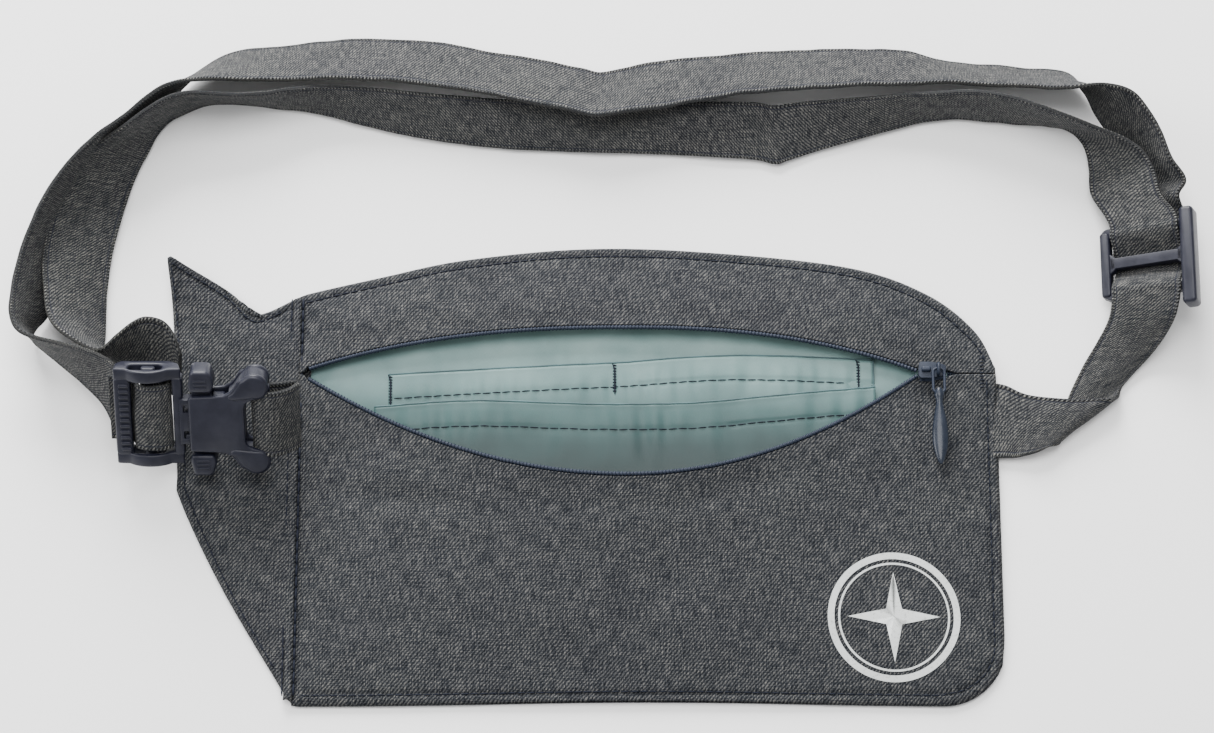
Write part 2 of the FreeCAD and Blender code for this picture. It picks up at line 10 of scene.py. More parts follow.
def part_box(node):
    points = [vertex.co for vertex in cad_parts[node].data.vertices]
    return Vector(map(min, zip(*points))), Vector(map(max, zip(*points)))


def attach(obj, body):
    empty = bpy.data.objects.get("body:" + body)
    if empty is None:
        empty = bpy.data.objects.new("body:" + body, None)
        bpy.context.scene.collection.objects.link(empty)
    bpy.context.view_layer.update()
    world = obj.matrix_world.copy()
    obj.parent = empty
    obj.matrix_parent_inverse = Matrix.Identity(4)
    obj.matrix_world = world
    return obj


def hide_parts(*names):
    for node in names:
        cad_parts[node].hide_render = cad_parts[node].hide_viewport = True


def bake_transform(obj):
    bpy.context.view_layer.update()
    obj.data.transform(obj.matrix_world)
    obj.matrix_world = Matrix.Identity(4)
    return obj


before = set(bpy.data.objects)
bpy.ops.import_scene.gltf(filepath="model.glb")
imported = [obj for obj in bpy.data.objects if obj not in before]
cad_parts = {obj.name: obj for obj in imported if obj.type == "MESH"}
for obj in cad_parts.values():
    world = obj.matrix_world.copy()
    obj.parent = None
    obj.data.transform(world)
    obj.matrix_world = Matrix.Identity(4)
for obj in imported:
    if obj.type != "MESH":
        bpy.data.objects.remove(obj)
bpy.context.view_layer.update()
MM = 0.001

# ---- driving sizes, in millimetres, as in the CAD model -----------------------------------
CLOTH = 0.7
UNDERSIDE_SHIFT = 3.7    # moves the weave of a sheet's other face, so that the two differ
LINING = 0.25
SHARP_ANGLE = math.radians(40)
LEFT, RIGHT, BOTTOM = -123.5, 122.5, -84.0
CORNER = 21.0
ZIP_Y = 36.0
ZIP_GAP = 1.6
COIL_LEFT, COIL_RIGHT = -120.0, 94.5
SLIT = 0.25
LEFT_SLIT, RIGHT_SLIT = -120.5, 104.0
MOUTH_LEFT, MOUTH_RIGHT, MOUTH_MIDDLE = -123.0, 95.5, -8.0
LOWER_SAG, UPPER_SAG = 41.5, 17.0
LOWER_BULGE, UPPER_BULGE = 12.0, 5.0
LIP_SHARE = 0.9
LOWER_FADE, UPPER_FADE = 80.0, 34.0
SEAM_Z = 1.7
LIP_Z = 3.2              # height of a lip where it has not opened at all
PUFF = 3.0
PUFF_REACH = 34.0
STITCH_IN = 3.2          # topstitching from the edge
WING_STITCH_IN = 2.6
WEBBING_WIDTH = 25.0
WEBBING = 1.5
TOP_POINTS = [(-142, 60), (-123.5, 66), (-95, 73), (-66, 79.5), (-24, 83.8), (18, 82.8),
              (70, 77), (98, 67), (115, 53), (122.5, 38)]
EMBLEM_AT = (84.5, -54.0)
EMBLEM_RADIUS = 23.0
BUCKLE_AT = Vector((-159.0, 12.5, 22.2))
BUCKLE_TILT = math.radians(48)
TRIGLIDE_AT = Vector((177.0, 76.0, 11.5))
TRIGLIDE_TILT = math.radians(24)
IN_TRIGLIDE = Matrix.Translation(TRIGLIDE_AT) @ Matrix.Rotation(-TRIGLIDE_TILT, 4, "Y")


# ---- mesh helpers -------------------------------------------------------------------------


def in_scene(name, data):
    """An object of the given mesh, lamp or camera, put into the scene."""
    ob = bpy.data.objects.new(name, data)
    bpy.context.scene.collection.objects.link(ob)
    return ob


def new_object(name, verts_mm, faces, material, uvs=None):
    """A mesh object from points in millimetres; uvs are per vertex, in millimetres of cloth."""
    mesh = bpy.data.meshes.new(name)
    mesh.from_pydata([tuple(float(c) * MM for c in v) for v in verts_mm], [], faces)
    if uvs is not None:
        layer = mesh.uv_layers.new(name="weave")
        flat = np.array(uvs, dtype=np.float32)[[l.vertex_index for l in mesh.loops]]
        layer.data.foreach_set("uv", flat.ravel())
    mesh.polygons.foreach_set("use_smooth", [True] * len(mesh.polygons))
    mesh.update()
    mesh.materials.append(material)
    return in_scene(name, mesh)


def grid_normals(points):
    du = np.gradient(points, axis=0)
    dv = np.gradient(points, axis=1)
    n = np.cross(du, dv)
    length = np.linalg.norm(n, axis=2, keepdims=True)
    length[length < 1e-9] = 1.0
    return n / length


def closed_sheet(name, points, thick, material):
    """A sheet of even thickness under a grid of points (columns, rows, xyz), closed at its edge."""
    columns, rows = points.shape[:2]
    normal = grid_normals(points)
    if normal[..., 2].mean() < 0:
        normal = -normal
    low = points - normal * thick
    verts = np.concatenate([points.reshape(-1, 3), low.reshape(-1, 3)])
    base = columns * rows
    index = np.arange(base).reshape(columns, rows)
    faces = []
    for a, b, c, d in zip(index[:-1, :-1].ravel(), index[1:, :-1].ravel(), index[1:, 1:].ravel(),
                          index[:-1, 1:].ravel()):
        faces.append((int(a), int(b), int(c), int(d)))
        faces.append((int(d) + base, int(c) + base, int(b) + base, int(a) + base))
    ring = list(index[:, 0]) + list(index[-1, 1:]) + list(index[-2::-1, -1]) + \
        list(index[0, -2:0:-1])
    for a, b in zip(ring, ring[1:] + ring[:1]):
        faces.append((int(b), int(a), int(a) + base, int(b) + base))
    plan = points[..., :2].reshape(-1, 2)
    uvs = np.concatenate([plan, plan + UNDERSIDE_SHIFT])
    ob = new_object(name, verts, faces, material, uvs)
    flip_out(ob)
    return ob


def flip_out(ob):
    bm = bmesh.new()
    bm.from_mesh(ob.data)
    bmesh.ops.remove_doubles(bm, verts=bm.verts, dist=1e-7)
    bmesh.ops.recalc_face_normals(bm, faces=bm.faces)
    bm.to_mesh(ob.data)
    bm.free()


def tube(name, path, radius, material, sides=8, ridge=0.0, pitch=1.3, closed=False):
    """A round tube along points; ridge makes a swelling every pitch millimetres."""
    path = np.array(path, float)
    tangent = np.gradient(path, axis=0)
    if closed:
        tangent = np.roll(path, -1, axis=0) - np.roll(path, 1, axis=0)
    tangent /= np.linalg.norm(tangent, axis=1, keepdims=True)
    reference = np.array([0.0, 0.0, 1.0])
    if abs(tangent[:, 2]).mean() > 0.9:
        reference = np.array([1.0, 0.0, 0.0])
    side = np.cross(tangent, reference)
    side /= np.linalg.norm(side, axis=1, keepdims=True)
    up = np.cross(side, tangent)
    length = np.concatenate([[0], np.cumsum(np.linalg.norm(np.diff(path, axis=0), axis=1))])
    swell = 1 + ridge * np.cos(2 * np.pi * length / pitch)
    verts, uvs = [], []
    for i in range(len(path)):
        for k in range(sides):
            a = 2 * math.pi * k / sides
            verts.append(path[i] + radius * swell[i] * (side[i] * math.cos(a) + up[i] * math.sin(a)))
            uvs.append((length[i], 3.0 * k / sides))
    faces = []
    count = len(path)
    for i in range(count if closed else count - 1):
        j = (i + 1) % count
        for k in range(sides):
            n = (k + 1) % sides
            faces.append((i * sides + k, i * sides + n, j * sides + n, j * sides + k))
    if not closed:
        faces.append(tuple(range(sides))[::-1])
        faces.append(tuple((count - 1) * sides + k for k in range(sides)))
    ob = new_object(name, verts, faces, material, uvs)
    flip_out(ob)
    return ob


def stitches(name, path, material, length=2.9, gap=0.35, radius=0.27, sink=0.08):
    """A row of thread stitches lying along a path of points."""
    path = np.array(path, float)
    run = np.concatenate([[0], np.cumsum(np.linalg.norm(np.diff(path, axis=0), axis=1))])
    count = max(1, int(run[-1] / (length + gap)))
    verts, faces = [], []
    sides = 5
    for s in range(count):
        start = s * (length + gap)
        shares = np.linspace(0, 1, 5)
        centre = np.stack([np.interp(start + shares * length, run, path[:, k]) for k in range(3)], 1)
        lift = np.sin(shares * math.pi) * radius * 0.9 - sink
        centre[:, 2] += lift
        tangent = centre[-1] - centre[0]
        size = np.linalg.norm(tangent)
        if size < 1e-6:
            continue
        tangent /= size
        side = np.cross(tangent, (0, 0, 1.0))
        if np.linalg.norm(side) < 1e-3:
            side = np.array([1.0, 0, 0])
        side /= np.linalg.norm(side)
        up = np.cross(side, tangent)
        first = len(verts)
        for i in range(5):
            r = radius * (0.45 + 0.55 * math.sin(math.pi * (0.12 + 0.76 * shares[i])))
            for k in range(sides):
                a = 2 * math.pi * k / sides
                verts.append(centre[i] + r * (side * math.cos(a) + up * math.sin(a)))
        for i in range(4):
            for k in range(sides):
                n = (k + 1) % sides
                faces.append((first + i * sides + k, first + i * sides + n,
                              first + (i + 1) * sides + n, first + (i + 1) * sides + k))
        faces.append(tuple(first + k for k in range(sides))[::-1])
        faces.append(tuple(first + 4 * sides + k for k in range(sides)))
    ob = new_object(name, verts, faces, material)
    flip_out(ob)
    return ob


def arc_points(cx, cy, radius, start, end, steps=6):
    """Points round a corner, angles in degrees."""
    found = []
    for i in range(steps + 1):
        a = math.radians(start + (end - start) * i / steps)
        found.append((cx + radius * math.cos(a), cy + radius * math.sin(a)))
    return found


def rounded_box(x0, x1, y0, y1, radius, steps=5):
    """Outline of a rectangle with round corners."""
    radius = min(radius, (x1 - x0) / 2, (y1 - y0) / 2)
    return (arc_points(x1 - radius, y1 - radius, radius, 0, 90, steps)
            + arc_points(x0 + radius, y1 - radius, radius, 90, 180, steps)
            + arc_points(x0 + radius, y0 + radius, radius, 180, 270, steps)
            + arc_points(x1 - radius, y0 + radius, radius, 270, 360, steps))


def moulding(name, outline, z0, z1, material, bevel, place=Matrix(), holes=()):
    """A flat moulding: outline extruded from z0 to z1 with softened edges, then placed."""
    bm = bmesh.new()
    loops = [outline] + list(holes)
    edges = []
    for loop in loops:
        verts = [bm.verts.new((x, y, z0)) for x, y in loop]
        for a, b in zip(verts, verts[1:] + verts[:1]):
            edges.append(bm.edges.new((a, b)))
    if holes:
        bmesh.ops.triangle_fill(bm, use_beauty=True, use_dissolve=False, edges=edges)
    else:
        bm.faces.new(list(bm.verts))
    made = bmesh.ops.extrude_face_region(bm, geom=list(bm.faces))
    moved = [g for g in made["geom"] if isinstance(g, bmesh.types.BMVert)]
    bmesh.ops.translate(bm, verts=moved, vec=(0, 0, z1 - z0))
    bmesh.ops.recalc_face_normals(bm, faces=bm.faces)
    bmesh.ops.dissolve_limit(bm, angle_limit=math.radians(1), verts=bm.verts, edges=bm.edges)
    mesh = bpy.data.meshes.new(name)
    bm.to_mesh(mesh)
    bm.free()
    ob = in_scene(name, mesh)
    soften(ob, bevel)
    ob.data.transform(place)
    ob.data.transform(Matrix.Scale(MM, 4))
    ob.data.materials.append(material)
    return ob


def soften(ob, width):
    """Rounds the edges of a moulding by width."""
    modifier = ob.modifiers.new("soft", "BEVEL")
    modifier.width = width
    modifier.segments = 3
    modifier.limit_method = "ANGLE"
    modifier.angle_limit = math.radians(35)
    modifier.harden_normals = False
    graph = bpy.context.evaluated_depsgraph_get()
    graph.update()
    mesh = bpy.data.meshes.new_from_object(ob.evaluated_get(graph))
    old = ob.data
    ob.modifiers.clear()
    ob.data = mesh
    bpy.data.meshes.remove(old)
    mesh.polygons.foreach_set("use_smooth", [True] * len(mesh.polygons))
    mesh.set_sharp_from_angle(angle=SHARP_ANGLE)


def join(name, obs):
    """One object from several of the same material."""
    bm = bmesh.new()
    for ob in obs:
        bm.from_mesh(ob.data)
    bmesh.ops.recalc_face_normals(bm, faces=bm.faces)
    mesh = bpy.data.meshes.new(name)
    for material in obs[0].data.materials:
        mesh.materials.append(material)
    bm.to_mesh(mesh)
    bm.free()
    for ob in obs:
        old = ob.data
        bpy.data.objects.remove(ob)
        bpy.data.meshes.remove(old)
    mesh.set_sharp_from_angle(angle=SHARP_ANGLE)
    return in_scene(name, mesh)


# ---- materials ----------------------------------------------------------------------------


def shader(name, roughness, **sockets):
    material = bpy.data.materials.new(name)
    material.use_nodes = True
    tree = material.node_tree
    bsdf = tree.nodes["Principled BSDF"]
    bsdf.inputs["Roughness"].default_value = roughness
    for key, value in sockets.items():
        bsdf.inputs[key.replace("_", " ")].default_value = value
    return material, tree, bsdf


def node(tree, kind, **settings):
    made = tree.nodes.new(kind)
    for key, value in settings.items():
        setattr(made, key, value)
    return made


def math_node(tree, operation, a, b=None, c=None):
    made = node(tree, "ShaderNodeMath", operation=operation)
    for socket, value in zip(made.inputs, (a, b, c)):
        if value is None:
            continue
        if isinstance(value, (int, float)):
            socket.default_value = value
        else:
            tree.links.new(value, socket)
    return made.outputs[0]


def times(tree, a, b):
    return math_node(tree, "MULTIPLY", a, b)


def plus(tree, a, b):
    return math_node(tree, "ADD", a, b)


def times_plus(tree, a, b, c):
    return math_node(tree, "MULTIPLY_ADD", a, b, c)


def ramp(tree, factor, stops):
    made = node(tree, "ShaderNodeValToRGB")
    elements = made.color_ramp.elements
    while len(elements) < len(stops):
        elements.new(0.5)
    for element, (at, colour) in zip(elements, stops):
        element.position = at
        element.color = (*colour, 1)
    tree.links.new(factor, made.inputs[0])
    return made.outputs[0]


def mix(tree, factor, a, b, blend="MIX"):
    made = node(tree, "ShaderNodeMix", data_type="RGBA", blend_type=blend)
    for socket, value in ((made.inputs[0], factor), (made.inputs[6], a), (made.inputs[7], b)):
        if isinstance(value, (int, float)):
            socket.default_value = value
        elif isinstance(value, tuple):
            socket.default_value = (*value, 1)
        else:
            tree.links.new(value, socket)
    return made.outputs[2]


def stretched(tree, vector, scale):
    mapping = node(tree, "ShaderNodeMapping")
    mapping.inputs["Scale"].default_value = scale
    tree.links.new(vector, mapping.inputs["Vector"])
    return mapping.outputs[0]


def noise_of(tree, vector, scale, detail=2.0, rough=0.5):
    made = node(tree, "ShaderNodeTexNoise")
    made.inputs["Scale"].default_value = scale
    made.inputs["Detail"].default_value = detail
    made.inputs["Roughness"].default_value = rough
    tree.links.new(vector, made.inputs["Vector"])
    return made.outputs[0]


def bump_of(tree, height, strength, distance, under=None):
    """Relief from a height, distance in metres; under is a coarser relief below it."""
    made = node(tree, "ShaderNodeBump")
    made.inputs["Strength"].default_value = strength
    made.inputs["Distance"].default_value = distance
    tree.links.new(height, made.inputs["Height"])
    if under is not None:
        tree.links.new(under, made.inputs["Normal"])
    return made.outputs[0]


def split_axes(tree, vector):
    made = node(tree, "ShaderNodeSeparateXYZ")
    tree.links.new(vector, made.inputs[0])
    return made.outputs


def hemmed(tree, u, v, colour, height):
    """Ribbed edges and the row of stitches beside them, on cloth whose v is across the belt."""
    edge = math_node(tree, "ABSOLUTE", v)
    hem = node(tree, "ShaderNodeMapRange", interpolation_type="SMOOTHSTEP")
    hem.inputs["From Min"].default_value = 10.7
    hem.inputs["From Max"].default_value = 11.3
    tree.links.new(edge, hem.inputs["Value"])
    ridge = math_node(tree, "SINE", times(tree, u, 2 * math.pi / 1.2))
    ridge = times_plus(tree, ridge, 0.5, 0.5)
    ribbed = mix(tree, ridge, mix(tree, 1.0, colour, (0.3, 0.3, 0.33), "MULTIPLY"),
                 mix(tree, 1.0, colour, (1.6, 1.6, 1.55), "MULTIPLY"))
    colour = mix(tree, hem.outputs[0], colour, ribbed)
    beside = math_node(tree, "SUBTRACT", 1.0, times(tree, math_node(
        tree, "ABSOLUTE", math_node(tree, "SUBTRACT", edge, 10.7)), 3.2))
    beside = math_node(tree, "MAXIMUM", beside, 0.0)
    colour = mix(tree, beside, colour, (0.012, 0.014, 0.024))
    height = plus(tree, height, times(tree, hem.outputs[0], ridge))
    return colour, math_node(tree, "SUBTRACT", height, beside)


def twill(name, light, middle, dark, rib=1.05, angle=49.0, hem=False):
    """Heathered twill: diagonal ribs over two sets of yarn that vary in colour along their length."""
    material, tree, bsdf = shader(name, 0.86, Sheen_Weight=0.04, Sheen_Roughness=0.5,
                                  Specular_IOR_Level=0.12)
    uv = node(tree, "ShaderNodeUVMap", uv_map="weave").outputs[0]
    u, v = split_axes(tree, uv)[:2]
    wobble = noise_of(tree, uv, 0.35, 2.0)
    turn = math.radians(angle)
    across = times(tree, u, math.sin(turn))
    across = math_node(tree, "SUBTRACT", across, times(tree, v, math.cos(turn)))
    across = plus(tree, across, times(tree, wobble, 0.9))
    wave = math_node(tree, "SINE", times(tree, across, 2 * math.pi / rib))
    wave = times_plus(tree, wave, 0.62, 0.5)
    warp = noise_of(tree, stretched(tree, uv, (2.2, 0.16, 1.0)), 1.0, 3.0, 0.65)
    weft = noise_of(tree, stretched(tree, uv, (0.13, 2.4, 1.0)), 1.0, 3.0, 0.65)
    grain = noise_of(tree, uv, 2.6, 3.0, 0.7)
    cloud = noise_of(tree, uv, 0.03, 3.0)
    yarn = plus(tree, times(tree, warp, 0.55),
                     times(tree, weft, 0.45))
    yarn = plus(tree, times(tree, yarn, 0.62),
                     times(tree, grain, 0.38))
    heather = ramp(tree, yarn, [(0.39, dark), (0.49, middle), (0.6, light)])
    rib_dark = mix(tree, 1.0, heather, (0.2, 0.22, 0.28), "MULTIPLY")
    colour = mix(tree, wave, rib_dark, heather)
    cloudy = ramp(tree, cloud, [(0.3, (0.88, 0.88, 0.9)), (0.7, (1.08, 1.08, 1.06))])
    colour = mix(tree, 1.0, colour, cloudy, "MULTIPLY")
    height = plus(tree, times(tree, wave, 0.7),
                       times(tree, yarn, 0.6))
    if hem:
        colour, height = hemmed(tree, u, v, colour, height)
    tree.links.new(colour, bsdf.inputs["Base Color"])
    rough = times_plus(tree, grain, 0.16, 0.78)
    tree.links.new(rough, bsdf.inputs["Roughness"])
    tree.links.new(bump_of(tree, height, 0.75, 0.00022), bsdf.inputs["Normal"])
    return material


def satin(name, colour, deep):
    """Thin lining cloth: fine even weave, soft sheen, slightly uneven dye, and painted shade that
    darkens it towards the bottom of the bag.
    """
    material, tree, bsdf = shader(name, 0.42, Sheen_Weight=0.06, Sheen_Roughness=0.35,
                                  Specular_IOR_Level=0.32)
    uv = node(tree, "ShaderNodeUVMap", uv_map="weave").outputs[0]
    fine = noise_of(tree, stretched(tree, uv, (9.0, 1.2, 1.0)), 1.0, 2.0)
    cloud = noise_of(tree, uv, 0.05, 3.0)
    creases = noise_of(tree, stretched(tree, uv, (0.075, 0.04, 1.0)), 1.0, 1.0, 0.5)
    value = plus(tree, times(tree, fine, 0.3),
                      times(tree, cloud, 0.7))
    dye = ramp(tree, value, [(0.35, deep), (0.6, colour)])
    # Painted shade: a ramp on the height up the bag darkens the lining towards the bottom, where the
    # lower panel shades the inside.
    up_the_bag = split_axes(tree, node(tree, "ShaderNodeTexCoord").outputs["Object"])[1]
    depth = times_plus(tree, up_the_bag, 16.0, 0.15)
    shade = ramp(tree, depth, [(0.1, (0.01, 0.045, 0.046)), (0.3, (0.03, 0.085, 0.088)),
                               (0.5, (0.15, 0.24, 0.245)), (0.68, (0.49, 0.56, 0.57)),
                               (0.95, (0.84, 0.88, 0.88))])
    tree.links.new(mix(tree, 1.0, dye, shade, "MULTIPLY"), bsdf.inputs["Base Color"])
    tree.links.new(times_plus(tree, fine, 0.2, 0.33), bsdf.inputs["Roughness"])
    gathers = bump_of(tree, creases, 0.7, 0.0018)
    tree.links.new(bump_of(tree, fine, 0.25, 0.00006, gathers), bsdf.inputs["Normal"])
    return material


def speckled(name, roughness, scale, stops, detail=2.0, grain=0.5, relief=0.0, **sockets):
    """A colour that breaks into another in specks; relief is how strongly they stand out."""
    material, tree, bsdf = shader(name, roughness, **sockets)
    where = node(tree, "ShaderNodeTexCoord").outputs["Object"]
    speck = noise_of(tree, where, scale, detail, grain)
    tree.links.new(ramp(tree, speck, stops), bsdf.inputs["Base Color"])
    if relief:
        tree.links.new(bump_of(tree, speck, relief, 0.0001), bsdf.inputs["Normal"])
    return material


def scaled(colour, share):
    return tuple(c * share for c in colour)


def plain_painted_shadow(name, colour):
    """Dark colour of the tubes of painted shadow inside sharp folds of the lining."""
    return speckled(name, 0.7, 90.0, [(0.35, colour), (0.7, scaled(colour, 2.0))])


def thread(name, colour):
    return speckled(name, 0.7, 2600.0, [(0.35, colour), (0.7, scaled(colour, 2.0))], relief=0.5,
                    Specular_IOR_Level=0.2)


def printed(name, colour):
    """Screen print: pale ink that breaks up a little over the ribs of the cloth."""
    return speckled(name, 0.7, 900.0, [(0.3, scaled(colour, 0.62)), (0.46, colour)], 3.0, 0.7, 0.4,
                    Specular_IOR_Level=0.3)


def plastic(name, colour, roughness, coat=0.0, texture=0.35):
    """Moulded plastic with a faint spark texture, scuffs and duller worn patches."""
    material, tree, bsdf = shader(name, roughness, Specular_IOR_Level=0.3, Coat_Weight=coat,
                                  Coat_Roughness=0.12)
    where = node(tree, "ShaderNodeTexCoord").outputs["Object"]
    spark = noise_of(tree, where, 3800.0, 2.0)
    patch = noise_of(tree, where, 160.0, 4.0, 0.6)
    scratch = noise_of(tree, stretched(tree, where, (2200.0, 260.0, 900.0)), 1.0, 2.0)
    lighter = tuple(min(1.0, c * 1.35 + 0.006) for c in colour)
    tree.links.new(ramp(tree, patch, [(0.35, colour), (0.75, lighter)]), bsdf.inputs["Base Color"])
    dull = plus(tree, times_plus(tree, patch, 0.22, roughness - 0.1),
                     times(tree, scratch, 0.06))
    tree.links.new(dull, bsdf.inputs["Roughness"])
    height = plus(tree, spark, times(tree, scratch, 0.5))
    tree.links.new(bump_of(tree, height, texture, 0.00005), bsdf.inputs["Normal"])
    return material


TWILL = twill("heather_twill", (0.165, 0.16, 0.147), (0.033, 0.036, 0.04), (0.003, 0.0045, 0.009))
STRAP = twill("heather_webbing", (0.2, 0.192, 0.17), (0.046, 0.048, 0.049), (0.004, 0.0055, 0.01),
              rib=0.95, angle=52.0, hem=True)
SATIN = satin("satin_lining", (0.235, 0.345, 0.33), (0.15, 0.245, 0.237))
# Painted shadow: a dark colour for tubes laid where the lining's folds lie in shade.
PAINTED_SHADOW = plain_painted_shadow("lining_painted_shadow", (0.035, 0.07, 0.075))
THREAD = thread("dark_thread", (0.003, 0.0045, 0.01))
TAPE = twill("zip_tape", (0.03, 0.04, 0.065), (0.016, 0.024, 0.045), (0.007, 0.01, 0.02), rib=0.7)
COIL = plastic("zip_nylon", (0.007, 0.012, 0.025), 0.46)
MOULDED = plastic("moulded_plastic", (0.006, 0.0068, 0.0145), 0.34)
GLOSS = plastic("pull_plastic", (0.005, 0.009, 0.018), 0.26, coat=0.1, texture=0.15)
INK = printed("print_ink", (0.55, 0.57, 0.56))


# ---- shape of the pouch front -------------------------------------------------------------


def smooth_back(w):
    return 0.5 - np.sin(np.arcsin(1 - 2 * np.clip(w, 0, 1)) / 3)


def mouth_share(x, power):
    half = np.where(x < MOUTH_MIDDLE, MOUTH_MIDDLE - MOUTH_LEFT, MOUTH_RIGHT - MOUTH_MIDDLE)
    u = np.minimum(1.0, np.abs(x - MOUTH_MIDDLE) / half)
    return 1 - u ** power


def zip_gap(x):
    """Half the space between the panels: wide over the slider, a slit beyond the zip's ends."""
    past = np.maximum((x - RIGHT_SLIT) / 5.0, (LEFT_SLIT - x) / 1.5)
    t = np.clip(past, 0, 1)
    return ZIP_GAP + (SLIT - ZIP_GAP) * t * t * (3 - 2 * t)


def lower_lip(x):
    return ZIP_Y - zip_gap(x) - (LOWER_SAG - ZIP_GAP) * mouth_share(x, 2.0)


def upper_lip(x):
    return ZIP_Y + zip_gap(x) + (UPPER_SAG - ZIP_GAP) * mouth_share(x, 2.4)


def smooth_curve(points, count):
    """A smooth line through points, evenly resampled (Catmull-Rom)."""
    points = np.array(points, float)
    ends = np.vstack([2 * points[0] - points[1], points, 2 * points[-1] - points[-2]])
    dense = []
    steps = 24
    for i in range(1, len(ends) - 2):
        a, b, c, d = ends[i - 1:i + 3]
        for t in np.arange(steps) / steps:
            dense.append(0.5 * (2 * b + (c - a) * t + (2 * a - 5 * b + 4 * c - d) * t ** 2
                                + (3 * b - a - 3 * c + d) * t ** 3))
    dense.append(points[-1])
    dense = np.array(dense)
    run = np.concatenate([[0], np.cumsum(np.linalg.norm(np.diff(dense, axis=0), axis=1))])
    at = np.linspace(0, run[-1], count)
    return np.stack([np.interp(at, run, dense[:, k]) for k in range(dense.shape[1])], 1)


TOP_EDGE = smooth_curve(TOP_POINTS, 200)


def top_seam(x):
    return np.interp(x, TOP_EDGE[:, 0], TOP_EDGE[:, 1])


def bottom_seam(x):
    over = np.clip((np.asarray(x, float) - (RIGHT - CORNER)) / CORNER, 0, 1)
    wave = 0.7 * np.sin((np.asarray(x, float) + 60) / 38.0)
    return BOTTOM + CORNER * (1 - np.sqrt(np.maximum(0, 1 - over ** 2))) + wave * (1 - over)


def outline_distance(x, y):
    """Rough distance in from the sewn edge of the pouch."""
    right_bottom = np.hypot(x - (RIGHT - CORNER), y - (BOTTOM + CORNER))
    in_corner = (x > RIGHT - CORNER) & (y < BOTTOM + CORNER)
    corner = np.where(in_corner, CORNER - right_bottom, 1e3)
    slope = np.gradient(TOP_EDGE[:, 1]) / np.gradient(TOP_EDGE[:, 0])
    top = (top_seam(x) - y) / np.sqrt(1 + np.interp(x, TOP_EDGE[:, 0], slope) ** 2)
    bottom = y - np.where(in_corner, -1e3, BOTTOM)
    return np.minimum.reduce([x - LEFT, RIGHT - x, bottom, top, corner])


def base_height(x, y):
    inside = np.clip(outline_distance(x, y), 0, None)
    t = np.clip(inside / PUFF_REACH, 0, 1)
    edge = np.clip(inside / 1.4, 0, 1)
    roll = 0.55 * np.sqrt(np.maximum(0, 1 - (1 - edge) ** 2))
    groove = -0.55 * np.exp(-((inside - STITCH_IN) / 0.8) ** 2)
    return SEAM_Z - 0.55 + roll + groove + PUFF * np.sin(t * math.pi / 2)


def ripple(x, y, scale, seed):
    """Soft uneven cloth, in millimetres."""
    flat = np.empty(np.shape(x))
    for index in np.ndindex(flat.shape):
        flat[index] = noise.noise(Vector((x[index] / scale, y[index] / scale, seed)))
    return flat


def pucker(x, y):
    """Small gathers where the seams pull the cloth in."""
    inside = np.clip(outline_distance(x, y), 0, None)
    along = x + y
    near = np.exp(-((inside - STITCH_IN) / 2.6) ** 2)
    return 0.16 * near * np.sin(along * 1.15 + 1.7 * np.sin(along * 0.21))


def lower_height(x, y):
    away = np.clip((lower_lip(x) - y) / LOWER_FADE, 0, 1)
    w = LIP_SHARE * mouth_share(x, 2.0) * (1 - away) ** 3
    lip = np.exp(-((lower_lip(x) - y) / 12.0) ** 2)
    base = base_height(x, y)
    crease = -0.9 * np.exp(-((y - lower_lip(x) + 9) / 5.0) ** 2) * mouth_share(x, 2.0)
    return base + lip * (LIP_Z - base) + LOWER_BULGE * smooth_back(w) + crease * (1 - lip)


def lower_surface(x, y):
    """Outer face of the lower front panel, with its wrinkles."""
    inside = outline_distance(x, y)
    fade = np.clip(inside / 12.0, 0, 1) * np.clip((lower_lip(x) - y) / 6, 0, 1)
    soft = ripple(x, y, 30.0, 2.0) * 0.9 + ripple(x, y, 12.0, 5.0) * 0.3
    fold = 0.8 * np.exp(-((y + 22 + 0.12 * x) / 5.0) ** 2) * np.exp(-((x + 85) / 45) ** 2)
    return lower_height(x, y) + CLOTH + pucker(x, y) + (soft - fold) * fade


def upper_surface(x, y):
    """Outer face of the upper front panel, with its wrinkles."""
    fade = np.clip(outline_distance(x, y) / 10.0, 0, 1) * np.clip((y - upper_lip(x)) / 5, 0, 1)
    soft = ripple(x, y, 24.0, 9.0) * 0.7 + ripple(x, y, 9.0, 4.0) * 0.22
    return upper_height(x, y) + CLOTH + pucker(x, y) + soft * fade


def upper_height(x, y):
    away = np.clip((y - upper_lip(x)) / UPPER_FADE, 0, 1)
    w = LIP_SHARE * mouth_share(x, 2.4) * (1 - away) ** 3
    lip = np.exp(-((y - upper_lip(x)) / 8.0) ** 2)
    base = base_height(x, y)
    return base + lip * (LIP_Z - base) + UPPER_BULGE * smooth_back(w)


def columns_between(left, right, count, ease=0.0):
    """Column positions, closer together towards the right end."""
    t = np.linspace(0, 1, count)
    t = t * (1 - ease) + ease * np.sin(t * math.pi / 2)
    return left + (right - left) * t


def rows_between(first, last, count):
    """Grid rows from first(x) to last(x), closer together near both ends."""
    t = np.linspace(0, 1, count)
    t = 0.6 * t + 0.4 * (0.5 - 0.5 * np.cos(t * math.pi))
    return first[:, None] + (last - first)[:, None] * t[None, :]


def blend_lower(ob, below=0.0):
    """Bakes a piece's placement into its mesh; below, its depth under the panel's outer face, is not
    used.
    """
    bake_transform(ob)


def blend_upper(ob, below=0.0):
    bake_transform(ob)


def per_row(x, y):
    """The place of each column, repeated for its rows."""
    return np.repeat(x[:, None], y.shape[1], 1)


